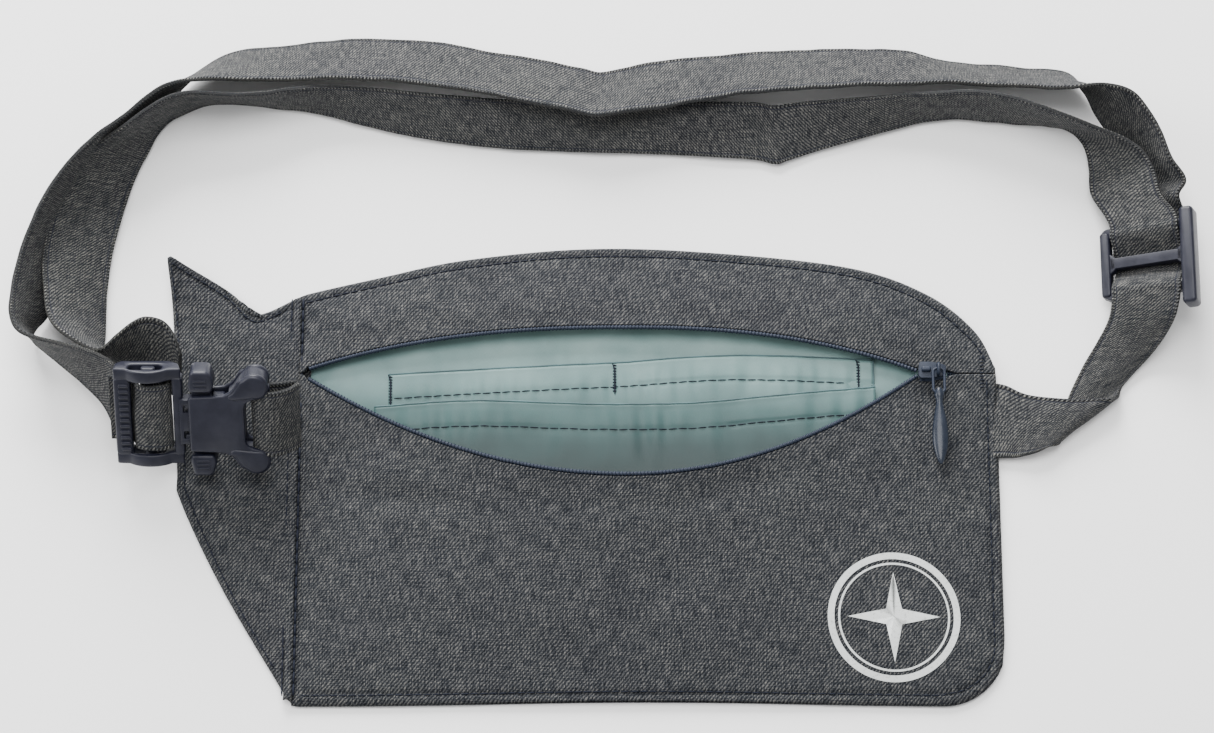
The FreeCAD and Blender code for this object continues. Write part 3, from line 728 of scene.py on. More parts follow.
def declare_sheet(points, flat=None):
    """Works out how big the piece was cut, its plan size and a turning unless flat is given, and keeps
    neither.
    """
    size = points.reshape(-1, 3).max(0) - points.reshape(-1, 3).min(0)
    if flat is None:
        flat = (float(size[0]) * MM + 0.004, float(size[1]) * MM + 0.004)


def sewn_row(row, body="pouch"):
    """Attaches a row of stitches, already in dark thread, to the body it moves with."""
    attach(row, body)


# ---- pouch panels -------------------------------------------------------------------------


def front_panel(side, x, y, surface, replaced, blender):
    """One of the two front panels, over columns at x and rows at y; gives back its outer face."""
    xx = per_row(x, y)
    points = np.stack([xx, y, surface(xx, y)], 2)
    ob = closed_sheet(f"front_{side}_cloth", points, CLOTH, TWILL)
    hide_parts(*replaced)
    declare_sheet(points)
    blender(ob)
    return points


def front_lower():
    x = columns_between(LEFT, RIGHT, 210, 0.25)
    y = rows_between(lower_lip(x), bottom_seam(x), 110)
    return front_panel("lower", x, y, lower_surface, ["front_lower_panel", "seam_allowance"],
                       blend_lower)


def front_upper():
    x = columns_between(LEFT, RIGHT, 200, 0.3)
    y = rows_between(upper_lip(x), np.maximum(top_seam(x), upper_lip(x) + 0.4), 48)
    return front_panel("upper", x, y, upper_surface, ["front_upper_panel"], blend_upper)


def back_panel():
    x = columns_between(LEFT, RIGHT, 140, 0.3)
    y = rows_between(bottom_seam(x), top_seam(x), 90)
    xx = per_row(x, y)
    inside = np.clip(outline_distance(xx, y), 0, None)
    edge = np.clip(inside / 1.4, 0, 1)
    under = 0.9 * (1 - np.sqrt(np.maximum(0, 1 - (1 - edge) ** 2)))
    groove = 0.25 * np.exp(-((inside - STITCH_IN) / 0.75) ** 2)
    low = np.stack([xx, y, under + groove + 0.03], 2)
    ob = closed_sheet("back_cloth", low + (0, 0, CLOTH), CLOTH, TWILL)
    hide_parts("back_panel")
    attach(ob, "pouch")
    declare_sheet(low)


WING_TOP = [(-123.5, 66), (-136, 59.5), (-142, 59.5), (-152, 68.5), (-171, 79)]
WING_LOW = [(-123.5, -84), (-148, -43), (-164, -10), (-165.5, 2), (-168.5, 56), (-171, 79)]


def wing_grid(columns=60, rows=120):
    """Grid from the seam to the wing's free edge, which runs from its tip to the bottom."""
    seam_y = np.linspace(66, -84, rows)
    top = smooth_curve(WING_TOP, 60)
    free = smooth_curve(WING_LOW[::-1], 200)
    corner = 0.24
    outer = []
    for t in np.linspace(0, 1, rows):
        if t < corner:
            outer.append(top[int(round(t / corner * 59))])
        else:
            outer.append(free[int(round((t - corner) / (1 - corner) * 199))])
    outer = np.array(outer)
    seam = np.stack([np.full(rows, LEFT), seam_y], 1)
    share = np.linspace(0, 1, columns)
    share = 0.5 * share + 0.5 * np.sin(share * math.pi / 2)
    return seam[None] + (outer - seam)[None] * share[:, None, None], outer


def wing():
    flat, outer = wing_grid()
    x, y = flat[..., 0], flat[..., 1]
    rim = outer[:, None, None, :]
    distance = np.min(np.hypot(x[None] - rim[..., 0], y[None] - rim[..., 1]), axis=0)
    edge = np.clip(distance / 1.4, 0, 1)
    roll = 0.8 * np.sqrt(np.maximum(0, 1 - (1 - edge) ** 2))
    groove = -0.4 * np.exp(-((distance - WING_STITCH_IN) / 0.7) ** 2)
    body = 0.9 * np.clip((distance - WING_STITCH_IN) / 9, 0, 1)
    along = x - y
    gather = 0.15 * np.exp(-((distance - WING_STITCH_IN) / 2.4) ** 2)
    gather *= np.sin(along * 1.2 + np.sin(along * 0.3))
    tip = np.clip((y - 52) / 27, 0, 1) * np.clip((-138 - x) / 33, 0, 1)
    curl = 7.0 * tip ** 1.6
    soft = ripple(x, y, 20.0, 12.0) * 0.5 * np.clip(distance / 8, 0, 1)
    z = 1.5 + roll + groove + body + gather + curl + soft
    points = np.stack([x, y, z], 2)
    ob = closed_sheet("wing_front_cloth", points, CLOTH, TWILL)
    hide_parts("wing_front_panel", "wing_seam_allowance")
    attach(ob, "pouch")
    declare_sheet(points)
    low = np.stack([x, y, 0.05 + 0.8 + curl + 0.7 * (1 - edge)], 2)
    back = closed_sheet("wing_back_cloth", low, CLOTH, TWILL)
    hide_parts("wing_back_panel")
    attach(back, "pouch")
    declare_sheet(low)
    rim_path = []
    inward = np.array([-138.0, 0.0])
    for px, py in outer[4:-6]:
        direction = inward - (px, py)
        direction /= np.linalg.norm(direction)
        rim_path.append((px + direction[0] * WING_STITCH_IN, py + direction[1] * WING_STITCH_IN))
    path = drape(rim_path, points)
    sewn_row(stitches("wing_topstitch", path, THREAD))


def drape(path, points, lift=0.08):
    """Puts a plan path on the nearest points of a cloth grid."""
    flat = points.reshape(-1, 3)
    placed = []
    for px, py in path:
        gap = np.hypot(flat[:, 0] - px, flat[:, 1] - py)
        near = np.argsort(gap)[:4]
        weight = 1 / (gap[near] + 0.05)
        placed.append((px, py, float((flat[near, 2] * weight).sum() / weight.sum()) + lift))
    return placed


def seam_welt():
    """Raised fold over the wing seam, held by two rows of stitches; the right row also stands for
    painted shadow in the seam's gap.
    """
    y = np.linspace(64.5, -83, 150)
    across = np.linspace(0, 1, 9)
    profile = 1.25 * np.sin(across * math.pi) ** 0.5 - 0.2
    x = LEFT - 2.9 + 3.3 * across
    wave = 0.12 * np.sin(y * 1.3) + 0.1 * np.sin(y * 0.31)
    points = np.stack([np.repeat(x[:, None], len(y), 1) + wave[None] * 0.6,
                       np.repeat(y[None], len(x), 0),
                       2.35 + np.repeat(profile[:, None], len(y), 1) + wave[None] * 0.3], 2)
    ob = closed_sheet("welt_cloth", points, 0.5, TWILL)
    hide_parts("seam_welt")
    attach(ob, "pouch")
    declare_sheet(points, (0.0105, 0.15))
    # Both rows are almost unbroken; the thick right row, at the welt's edge, is stitches and a dark
    # line of painted shadow in the seam's gap.
    for k, (offset, z, thick) in enumerate(((-3.3, 2.8, 0.32), (0.75, 3.0, 0.5))):
        path = [(LEFT + offset, t, z) for t in y]
        sewn_row(stitches(f"welt_stitch_and_painted_shadow_{k}", path, THREAD, 4.2, 0.1, thick))


# ---- stitching on the front ---------------------------------------------------------------


def edge_path(side):
    """The topstitching line just inside the pouch's edge."""
    found = []
    if side == "lower":
        found += [(RIGHT - STITCH_IN, t) for t in np.linspace(33, BOTTOM + CORNER, 50)]
        found += arc_points(RIGHT - CORNER, BOTTOM + CORNER, CORNER - STITCH_IN, 0, -90, 24)
        for t in np.linspace(RIGHT - CORNER, LEFT + 1, 120):
            found.append((t, float(bottom_seam(t)) + STITCH_IN))
    else:
        for t in np.linspace(LEFT + 1, 108, 130):
            slope = float(top_seam(t + 0.5) - top_seam(t - 0.5))
            size = math.hypot(1, slope)
            found.append((t + slope / size * STITCH_IN, float(top_seam(t)) - STITCH_IN / size))
        found += smooth_curve([found[-1], (114.5, 49), (118.2, 43), (119.3, 39)], 16).tolist()
    return found


def front_stitching(lower_points, upper_points):
    for side, points, blender in (("lower", lower_points, blend_lower),
                                  ("upper", upper_points, blend_upper)):
        row = stitches(f"{side}_edge_stitch", drape(edge_path(side), points), THREAD)
        blender(row, -0.25)
    bars = []
    for k in range(9):
        y = 30.8 + k * 1.35
        bars.append([(116.9, y, 3.9), (118.6, y + 0.1, 3.9)])
    tack = join("seam_bartack_thread",
                [stitches(f"tack_{k}", b, THREAD, 1.5, 0.2, 0.26) for k, b in enumerate(bars)])
    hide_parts("seam_bartack")
    sewn_row(tack)


# ---- emblem -------------------------------------------------------------------------------


def star_plan(cx, cy, steps=10):
    """Flat star as eight triangles, each cut into rows from the middle outwards."""
    verts, faces = [], []
    for k in range(8):
        corners = []
        for j in (k, k + 1):
            r = EMBLEM_RADIUS * (0.7 if j % 2 == 0 else 0.17)
            corners.append((r * math.cos(j * math.pi / 4), r * math.sin(j * math.pi / 4)))
        first = len(verts)
        for i in range(steps + 1):
            t = 0.02 + 0.98 * i / steps
            for m in range(3):
                x = corners[0][0] * (1 - m / 2) + corners[1][0] * m / 2
                y = corners[0][1] * (1 - m / 2) + corners[1][1] * m / 2
                verts.append((cx + x * t, cy + y * t))
        for i in range(steps):
            for m in range(2):
                a = first + i * 3 + m
                faces.append((a, a + 1, a + 4, a + 3))
    return verts, faces


def ring_plan(cx, cy, outer, inner, steps=120):
    """Flat ring in two rows of quads."""
    verts, faces = [], []
    for k in range(steps):
        a = 2 * math.pi * k / steps
        for r in (outer, (outer + inner) / 2, inner):
            verts.append((cx + r * math.cos(a), cy + r * math.sin(a)))
    for k in range(steps):
        n = (k + 1) % steps
        for j in range(2):
            faces.append((k * 3 + j, k * 3 + j + 1, n * 3 + j + 1, n * 3 + j))
    return verts, faces


def emblem():
    """A plain ring with a four pointed star, printed on the cloth."""
    cx, cy = EMBLEM_AT
    plans = [ring_plan(cx, cy, EMBLEM_RADIUS, EMBLEM_RADIUS - 2.3),
             ring_plan(cx, cy, EMBLEM_RADIUS - 3.6, EMBLEM_RADIUS - 4.3), star_plan(cx, cy)]
    parts = []
    for index, (plan, quads) in enumerate(plans):
        x = np.array([p[0] for p in plan])
        y = np.array([p[1] for p in plan])
        count = len(plan)
        z = lower_surface(x, y)
        solid = [(px, py, pz + 0.11) for px, py, pz in zip(x, y, z)]
        solid += [(px, py, pz - 0.1) for px, py, pz in zip(x, y, z)]
        shell = list(quads) + [tuple(i + count for i in reversed(q)) for q in quads]
        seen = {}                # directed edges; one without its opposite is on the rim
        for q in quads:
            for a, b in zip(q, q[1:] + q[:1]):
                seen[(a, b)] = True
        for a, b in seen:
            if (b, a) not in seen:
                shell.append((b, a, a + count, b + count))
        parts.append(new_object(f"print_{index}", solid, shell, INK))
    for part in parts:
        flip_out(part)
    ob = join("emblem_ink", parts)
    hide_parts("emblem_print")
    blend_lower(ob, -0.3)


# ---- lining and pockets -------------------------------------------------------------------


def lining_sheet(name, node_name, points, body="pouch"):
    """A piece of lining cloth; body is None where blend_lower or blend_upper takes it afterwards."""
    ob = closed_sheet(name, points, LINING, SATIN)
    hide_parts(node_name)
    if body:
        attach(ob, body)
    declare_sheet(points)
    return ob


def under_front(x, y, z, room):
    """Keeps a lining piece at least room below the front, even where the pouch is thin."""
    return np.minimum(z, base_height(x, y) + CLOTH - room)


def inside():
    x = columns_between(LEFT + 1.5, RIGHT - 6, 150)
    low = np.maximum(bottom_seam(x) + 6, BOTTOM + 6)
    high = top_seam(x) - 6
    y = rows_between(low, high, 110)
    xx = per_row(x, y)
    wrinkle = ripple(xx, y, 16.0, 21.0) * 0.5 + ripple(xx * 1.6, y * 0.55, 7.0, 3.0) * 0.35
    points = np.stack([xx, y, under_front(xx, y, 1.25 + 0.8 * np.abs(wrinkle), 1.9)], 2)
    lining_sheet("back_lining_cloth", "back_lining", points)
    card_pocket()
    slip_pocket()
    for name, slab, lip, direction, blender, replaced in (
            ("front_lining_cloth", lower_surface, lower_lip, -1, blend_lower, "front_lining"),
            ("upper_lining_cloth", upper_surface, upper_lip, 1, blend_upper, "upper_lining")):
        x = columns_between(LEFT + 6, RIGHT - 6, 150)
        first = lip(x) + direction * 1.2
        last = bottom_seam(x) + 6 if direction < 0 else np.maximum(top_seam(x) - 6, first + 0.5)
        y = rows_between(first, last, 50)
        xx = per_row(x, y)
        z = slab(xx, y) - CLOTH - 0.3 + np.minimum(0, ripple(xx, y, 12.0, 30.0)) * 0.4
        points = np.stack([xx, y, z], 2)
        ob = lining_sheet(name, replaced, points, body=None)
        blender(ob, CLOTH + 0.3)


CARD_EDGE = [(-92, 35.8), (-60, 37.6), (-12, 40.3), (30, 42.8), (79.5, 41.4)]
CARD_HEM, SLIP_HEM = 8.6, 9.0
SLIP_EDGE = [(-97, 23.5), (-62, 25.6), (-20, 24.4), (15, 24.8), (45, 27.6), (80, 31.0)]


def edge_at(points, x):
    curve = smooth_curve(points, 120)
    return np.interp(x, curve[:, 0], curve[:, 1])


def pocket_painted_shadow(name, line, points):
    """A dark tube of painted shadow just behind a pocket's turned edge."""
    row = tube(name, drape([(x, y + 0.35) for x, y in line], points, 0.0), 0.28, PAINTED_SHADOW, 6)
    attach(row, "pouch")


def hem_seam(name, line, hem, ends, points):
    """Stitches along the bottom of a pocket's hem, and a dark tube of painted shadow along the fold at
    its top.
    """
    stitch = [(t, float(edge_at(line, t)) - hem) for t in np.linspace(*ends, 160)]
    sewn_row(stitches(f"{name}_stitch", drape(stitch, points, 0.1), THREAD, 2.9, 0.6, 0.2))
    # Painted shadow: a dark tube along the pocket's top edge.
    pocket_painted_shadow(f"{name}_fold", [(t, float(edge_at(line, t)))
                                 for t in np.linspace(line[0][0], line[-1][0], 120)], points)


def card_pocket():
    """Divided pocket on the back lining, its top turned over and stitched."""
    left, right, divider = CARD_EDGE[0][0], CARD_EDGE[-1][0], CARD_EDGE[2][0]
    x = np.linspace(left, right, 150)
    edge = edge_at(CARD_EDGE, x)
    y = rows_between(edge, np.full_like(edge, -62.0), 70)
    xx = per_row(x, y)
    depth = edge[:, None] - y
    tie = np.minimum.reduce([np.abs(xx - t) for t in (left, divider, 75)])
    belly = 0.9 * np.clip(tie / 22, 0, 1) ** 0.7 * np.exp(-(depth / 40) ** 2)
    hem = 0.35 * (depth < 8.5) + 0.25 * np.exp(-(depth / 0.9) ** 2)
    groove = -0.3 * np.exp(-((depth - CARD_HEM) / 0.8) ** 2)
    gathers = 0.22 * np.sin(xx * 0.9 + 2.2 * np.sin(xx * 0.11)) * np.exp(-((depth - CARD_HEM) / 6) ** 2)
    soft = ripple(xx, y, 14.0, 41.0) * 0.35
    z = 1.6 + 0.7 * belly + hem + groove + gathers + soft * np.exp(-(depth / 50) ** 2)
    points = np.stack([xx, y, under_front(xx, y, z, 1.55)], 2)
    lining_sheet("card_pocket_cloth", "card_pocket", points)
    hem_seam("card_pocket", CARD_EDGE, CARD_HEM, (-90, 73), points)
    # Painted shadow: a dark tube down the card pocket's right side.
    pocket_painted_shadow("card_pocket_side_painted_shadow", [(right, 41.0 - t) for t in np.linspace(0, 13.0, 20)], points)
    tacks = []
    for k, t in enumerate((left + 0.8, divider, 74.2)):
        top = float(edge_at(CARD_EDGE, t))
        for j in range(10):
            y_at = top - 0.6 - j * 1.05
            path = drape([(t - 0.75, y_at), (t + 0.75, y_at - 0.15)], points, 0.16)
            tacks.append(stitches(f"pocket_tack_{k}_{j}", path, THREAD, 1.3, 0.2, 0.24))
        path = drape([(t - 0.9, top + 0.2), (t, top - 1.0), (t, top - 12.4)], points, 0.2)
        tacks.append(stitches(f"pocket_bar_{k}", path, THREAD, 11.8, 0.1, 0.3))
    ob = join("pocket_tack_thread", tacks)
    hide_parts("pocket_bartacks")
    sewn_row(ob)


def slip_pocket():
    """Open front pocket with a soft gathered hem."""
    left, right = SLIP_EDGE[0][0], SLIP_EDGE[-1][0]
    x = np.linspace(left, right, 170)
    edge = edge_at(SLIP_EDGE, x)
    y = rows_between(edge, np.full_like(edge, -58.0), 70)
    xx = per_row(x, y)
    depth = edge[:, None] - y
    end = np.clip(np.minimum(xx - left, right - xx) / 20, 0, 1)
    belly = 0.95 * end * np.exp(-((depth - 4) / 26) ** 2)
    hem = 0.3 * (depth < SLIP_HEM) + 0.3 * np.exp(-(depth / 1.0) ** 2)
    groove = -0.35 * np.exp(-((depth - SLIP_HEM) / 0.9) ** 2)
    gathers = 0.26 * np.sin(xx * 0.55 + 2.6 * np.sin(xx * 0.083)) * np.exp(-((depth - 7) / 8) ** 2)
    soft = ripple(xx * 0.8, y, 15.0, 51.0) * 0.3 * np.exp(-(depth / 50) ** 2)
    z = 2.1 + belly + hem + groove + gathers + soft
    points = np.stack([xx, y, under_front(xx, y, z, 1.15)], 2)
    lining_sheet("slip_pocket_cloth", "slip_pocket", points)
    hem_seam("slip_pocket", SLIP_EDGE, SLIP_HEM, (-94, 77), points)


# ---- zip ----------------------------------------------------------------------------------


def zip_parts():
    for name, lip, height, side, blender in (("lower", lower_lip, lower_height, -1, blend_lower),
                                             ("upper", upper_lip, upper_height, 1, blend_upper)):
        x = np.linspace(COIL_LEFT, COIL_RIGHT, 180)
        near = lip(x)
        y = np.stack([near + side * t for t in (-1.3, -0.4, 0.8, 2.6, 4.6)], 1)
        xx = np.repeat(x[:, None], 5, 1)
        z = np.repeat(height(x, near)[:, None], 5, 1) - 0.1
        z[:, 2:] = height(xx[:, 2:], y[:, 2:]) - 0.6
        points = np.stack([xx, y, z], 2)
        tape = closed_sheet(f"{name}_tape_cloth", points, 0.35, TAPE)
        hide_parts(f"{name}_tape")
        declare_sheet(points, (0.012, 0.23))
        blender(tape, 1.0)
        xs = np.linspace(COIL_LEFT, COIL_RIGHT, 1400)
        path = np.stack([xs, lip(xs) - side * 1.0, height(xs, lip(xs)) + 0.45], 1)
        coil = tube(f"{name}_coil_teeth", path, 0.72, COIL, 8, 0.2, 1.25)
        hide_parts(f"{name}_coil")
        blender(coil, 0.55)
    z = float(base_height(np.array(112.0), np.array(ZIP_Y))) - 0.9
    xs = np.linspace(105.5, 119.5, 160)
    rows = [tube(f"closed_{k}", np.stack([xs, np.full(160, ZIP_Y + o), np.full(160, z)], 1), 0.66,
                 COIL, 8, 0.22, 1.25) for k, o in enumerate((-0.55, 0.55))]
    closed = join("closed_coil_teeth", rows)
    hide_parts("closed_coil", "zip_end_stops")
    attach(closed, "pouch")


def box_mm(node_name):
    """The low and high corners of a CAD node, in millimetres."""
    return [[c / MM for c in corner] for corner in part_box(node_name)]


SLIDER_BOX = box_mm("zip_slider")
LINK_BOX = box_mm("pull_link")
PULL_BOX = box_mm("zip_pull")
LINK_X = (LINK_BOX[0][0] + LINK_BOX[1][0]) / 2


def slider():
    """Shield shaped slider with a ridge along it and the bridge the link hangs from."""
    low, high = SLIDER_BOX
    x0, x1 = low[0] + 0.2, high[0] - 0.3
    half = (high[1] - low[1]) / 2 - 0.2
    outline = [(x0, -half * 0.9)] + arc_points(x0 + 1.0, -half + 0.9, 0.9, 190, 270, 4)
    outline += [(x0 + 4.5, -half), (x1 - 1.2, -half * 0.72), (x1, -half * 0.45), (x1, half * 0.45),
                (x1 - 1.2, half * 0.72), (x0 + 4.5, half)]
    outline += arc_points(x0 + 1.0, half - 0.9, 0.9, 90, 170, 4) + [(x0, half * 0.9)]
    outline = [(x, y + ZIP_Y) for x, y in outline]
    middle = low[2] + 2.55
    top = moulding("slider_top", outline, middle + 1.2, middle + 2.4, COIL, 0.45)
    bottom = moulding("slider_bottom", outline, middle - 2.4, middle - 1.4, COIL, 0.4)
    post = moulding("slider_post", rounded_box(x0 + 0.2, x0 + 2.2, ZIP_Y - 0.8, ZIP_Y + 0.8, 0.5),
                    middle - 1.5, middle + 1.3, COIL, 0.15)
    ridge = moulding("slider_ridge", rounded_box(x0 + 0.8, x0 + 4.2, ZIP_Y - 0.9, ZIP_Y + 0.9, 0.8),
                     middle + 2.2, middle + 4.0, COIL, 0.6)
    path = []
    for a in np.linspace(0, math.pi, 22):
        path.append((LINK_X, ZIP_Y - 1.9 * math.cos(a), middle + 2.2 + (high[2] - middle - 2.8)
                     * math.sin(a) ** 0.5))
    bridge = tube("slider_bridge", path, 0.62, COIL, 10)
    ob = join("zip_slider_body", [top, bottom, post, ridge, bridge])
    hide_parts("zip_slider")
    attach(ob, "slider")


def pull():
    """Wire link and a glossy seed shaped puller with an eye."""
    low, high = LINK_BOX
    z = (low[2] + high[2]) / 2
    y_top, y_low = high[1] - 0.55, low[1] + 0.55
    loop = [(LINK_X + x, y, z) for x, y in rounded_box(-2.0, 2.0, y_low, y_top, 1.5, 8)]
    ring = tube("pull_link_wire", loop, 0.5, COIL, 10, closed=True)
    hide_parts("pull_link")
    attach(ring, "link")
    low, high = PULL_BOX
    length = high[1] - low[1]
    sections = [(0.0, 0.9, 1.2), (0.04, 1.5, 1.5), (0.09, 1.8, 1.6), (0.14, 1.45, 1.3),
                (0.19, 1.15, 1.1), (0.3, 1.7, 1.2), (0.45, 2.45, 1.4), (0.6, 2.85, 1.5),
                (0.74, 2.7, 1.4), (0.86, 2.05, 1.15), (0.94, 1.35, 0.85), (1.0, 0.45, 0.35)]
    rings = smooth_curve(sections, 60)
    verts, faces, sides = [], [], 24
    for share, wide, deep in rings:
        y = high[1] - 0.4 - (length - 0.6) * share
        for k in range(sides):
            a = 2 * math.pi * k / sides
            verts.append((LINK_X + wide * math.cos(a), y, z - 0.4 * share
                          + deep * 0.85 * math.sin(a)))
    for i in range(len(rings) - 1):
        for k in range(sides):
            n = (k + 1) % sides
            faces.append((i * sides + k, i * sides + n, (i + 1) * sides + n, (i + 1) * sides + k))
    faces.append(tuple(range(sides)))
    faces.append(tuple((len(rings) - 1) * sides + k for k in range(sides))[::-1])
    ob = new_object("zip_pull_leaf", verts, faces, GLOSS)
    flip_out(ob)
    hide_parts("zip_pull")
    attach(ob, "pull")


# ---- belt ---------------------------------------------------------------------------------
# each station is one place along the belt: its (lower edge), (upper edge), in millimetres
ANCHOR_STATIONS = [((120, 5, 1.8), (120, 33, 1.8)), ((125, 5, 2.4), (126, 32, 2.4)),
                   ((129, 5, 3.2), (134, 28, 3.6)), ((135, 6, 4.6), (149, 25.5, 5.6)),
                   ((140, 8, 5), (161, 26, 6)), ((143, 9.5, 3.3), (165, 28, 3.6)),
                   ((144, 12, 1.6), (167, 31.5, 1.8)), ((147, 25, 1.4), (172, 37, 2.2)),
                   ((153, 38, 2.2), (178, 43, 4.5)), ((159, 48, 4.5), (183, 49, 9.5)),
                   ((163, 55.5, 7), (186, 54.5, 15.5))]
INNER_STATIONS = [((163, 94, 8), (186, 93, 18.5)), ((159, 104, 4), (182, 99, 18)),
                  ((159, 115, 2), (180, 108, 18)), ((157, 125, 1.5), (175, 116, 19.5)),
                  ((151, 131, 1.5), (164, 122, 21)), ((138, 133, 1.5), (144, 129, 22.5)),
                  ((122, 134, 1.5), (122, 137, 21)), ((102, 134, 1.5), (101, 139, 16)),
                  ((73, 126, 1.5), (73, 138.5, 12)), ((52, 119, 1.5), (54, 138, 9.5)),
                  ((46, 117, 1.5), (45, 137, 9)), ((36, 119, 1.5), (36, 138, 9.5)),
                  ((1, 121, 1.5), (1, 138, 9.5)), ((-32, 122, 1.5), (-32, 138, 9.5)),
                  ((-61, 124, 1.5), (-60, 139, 11)), ((-90, 129, 1.5), (-89, 141, 13)),
                  ((-115, 136, 1.5), (-114, 142, 15)), ((-137, 140, 1.5), (-138, 137, 20)),
                  ((-150, 141, 1.5), (-154, 136, 23)), ((-160, 140, 1.5), (-167, 135, 24)),
                  ((-171, 135, 1.5), (-178, 130, 24.5)), ((-177, 129, 1.5), (-187, 123, 23.5)),
                  ((-181, 121, 1.5), (-197, 118, 18.5)), ((-184, 113, 1.5), (-206, 110, 13.5)),
                  ((-187, 103, 1.5), (-211, 99, 12)), ((-190, 91, 1.5), (-214, 87, 12)),
                  ((-192, 80, 1.5), (-215, 76, 13)), ((-193, 68, 1.5), (-214, 65, 14.5)),
                  ((-193, 60, 1.5), (-212, 54, 17)), ((-193, 52, 1.5), (-207, 46, 21)),
                  ((-193, 46, 2), (-200, 40, 24.5)), ((-190, 41, 3), (-192, 37, 26)),
                  ((-184, 36, 4), (-186, 42, 27)), ((-179, 33, 4), (-181, 46, 28)),
                  ((-174, 31, 4), (-176, 48, 28.5)), ((-170, 29, 4.2), (-170, 46.5, 28.5)),
                  ((-167, 27.5, 4.5), (-166, 41.5, 28)), ((-165.5, 26, 5), (-163.5, 35.5, 25))]
OUTER_STATIONS = [((166, 77, 1.2), (191, 77, 11.4)), ((167, 87, 1.3), (191.5, 86, 11.8)),
                  ((169, 94, 1.5), (191, 93, 13)), ((173, 101, 1.5), (188.5, 99, 17)),
                  ((176, 107, 1.5), (191, 104.5, 18)), ((175, 114, 1.5), (186, 111, 21)),
                  ((173, 120, 1.5), (182, 121, 23)), ((169, 126, 1.5), (176, 131.5, 25)),
                  ((166, 130, 1.5), (171, 136, 26)), ((162, 137, 1.5), (164, 138, 26)),
                  ((158, 146, 1.5), (158, 138.5, 25)), ((151, 153, 1.5), (147, 138.5, 21)),
                  ((132, 155, 1.5), (130, 140.5, 18)), ((110, 157, 1.5), (108, 142, 17)),
                  ((92, 161, 1.5), (90, 142, 16.5)), ((74, 162, 1.5), (72, 141, 16.5)),
                  ((41, 161, 1.5), (40, 139, 16)), ((19, 159, 1.5), (19, 136, 16)),
                  ((0, 157, 1.5), (2, 132.5, 16)), ((-8, 155, 1.5), (-7, 131, 16.5)),
                  ((-17, 153, 1.5), (-18, 129, 16.5)), ((-24, 154.5, 1.5), (-25, 130.5, 17)),
                  ((-34, 156.5, 1.5), (-34, 133, 17)), ((-46, 159, 1.5), (-46, 135.5, 17)),
                  ((-72, 164, 1.5), (-71, 140, 17)), ((-95, 166, 1.5), (-93, 143, 17)),
                  ((-116, 165, 1.5), (-115, 143.5, 17.5)), ((-134, 163, 1.5), (-132, 143, 18)),
                  ((-150, 161, 1.5), (-152, 142, 21)), ((-163, 153, 1.5), (-164, 140, 24)),
                  ((-174, 142, 1.5), (-175, 136, 25.5)), ((-184, 131, 1.5), (-186, 127, 25)),
                  ((-193, 121, 1.5), (-196, 119, 24.5)), ((-201, 110, 1.5), (-206, 108, 24)),
                  ((-206, 101, 1.5), (-214, 96, 23.5)), ((-209, 90, 1.5), (-219, 84, 23)),
                  ((-211, 79, 1.5), (-222, 72, 22.5)), ((-212, 68, 1.5), (-224, 61, 22.5)),
                  ((-214, 59, 1.5), (-224, 52, 24)), ((-218, 53, 2), (-221, 45, 25)),
                  ((-218, 48, 3), (-213, 41, 26)), ((-210, 41, 4.2), (-202, 38, 27)),
                  ((-199, 31, 6.5), (-193, 35, 28)), ((-191, 21, 8.5), (-187, 31, 28.5)),
                  ((-185, 9, 10), (-183, 24.5, 28.7))]
# across the belt: place from -1 to 1, and how far the face stands out
PROFILE = [(-1.0, 0.55), (-0.985, 0.9), (-0.955, 1.05), (-0.92, 1.0), (-0.885, 0.72), (-0.85, 0.8),
           (-0.6, 0.86), (-0.3, 0.9), (0.0, 0.92), (0.3, 0.9), (0.6, 0.86), (0.85, 0.8),
           (0.885, 0.72), (0.92, 1.0), (0.955, 1.05), (0.985, 0.9), (1.0, 0.55)]


def ribbon(name, stations, replaced, seed, per_mm=1.1):
    """Folded fabric belt ruled between the two edges of its stations, hemmed along both."""
    stations = np.array(stations, float).reshape(len(stations), 6)
    rough = smooth_curve(stations, 800)
    run = np.linalg.norm(np.diff((rough[:, :3] + rough[:, 3:]) / 2, axis=0), axis=1).sum()
    count = max(12, int(run * per_mm))
    both = smooth_curve(stations, count)
    low, high = both[:, :3], both[:, 3:]
    centre = (low + high) / 2
    across = high - low
    along = np.gradient(centre, axis=0)
    normal = np.cross(along, across)
    normal /= np.linalg.norm(normal, axis=1, keepdims=True)
    length = np.concatenate([[0], np.cumsum(np.linalg.norm(np.diff(centre, axis=0), axis=1))])
    half = WEBBING_WIDTH / 2
    verts, uvs = [], []
    sides = PROFILE + [(p, -h) for p, h in PROFILE[::-1]]
    for i in range(count):
        ends = min(1.0, length[i] / 12, (length[-1] - length[i]) / 12)
        for place, stand in sides:
            buckled = 0.9 * noise.noise(Vector((length[i] / 22.0, place * 0.8, seed)))
            buckled += 0.35 * noise.noise(Vector((length[i] / 8.0, place * 1.6, seed + 3)))
            out = stand * WEBBING / 2 + buckled * ends
            verts.append(centre[i] + across[i] * place / 2 + normal[i] * out)
            uvs.append((length[i] + (0 if stand > 0 else 47), place * half))
    ring = len(sides)
    faces = []
    for i in range(count - 1):
        for k in range(ring):
            n = (k + 1) % ring
            faces.append((i * ring + k, i * ring + n, (i + 1) * ring + n, (i + 1) * ring + k))
    faces.append(tuple(range(ring))[::-1])
    faces.append(tuple((count - 1) * ring + k for k in range(ring)))
    ob = new_object(name, verts, faces, STRAP, uvs)
    flip_out(ob)
    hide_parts(*replaced)
    return ob


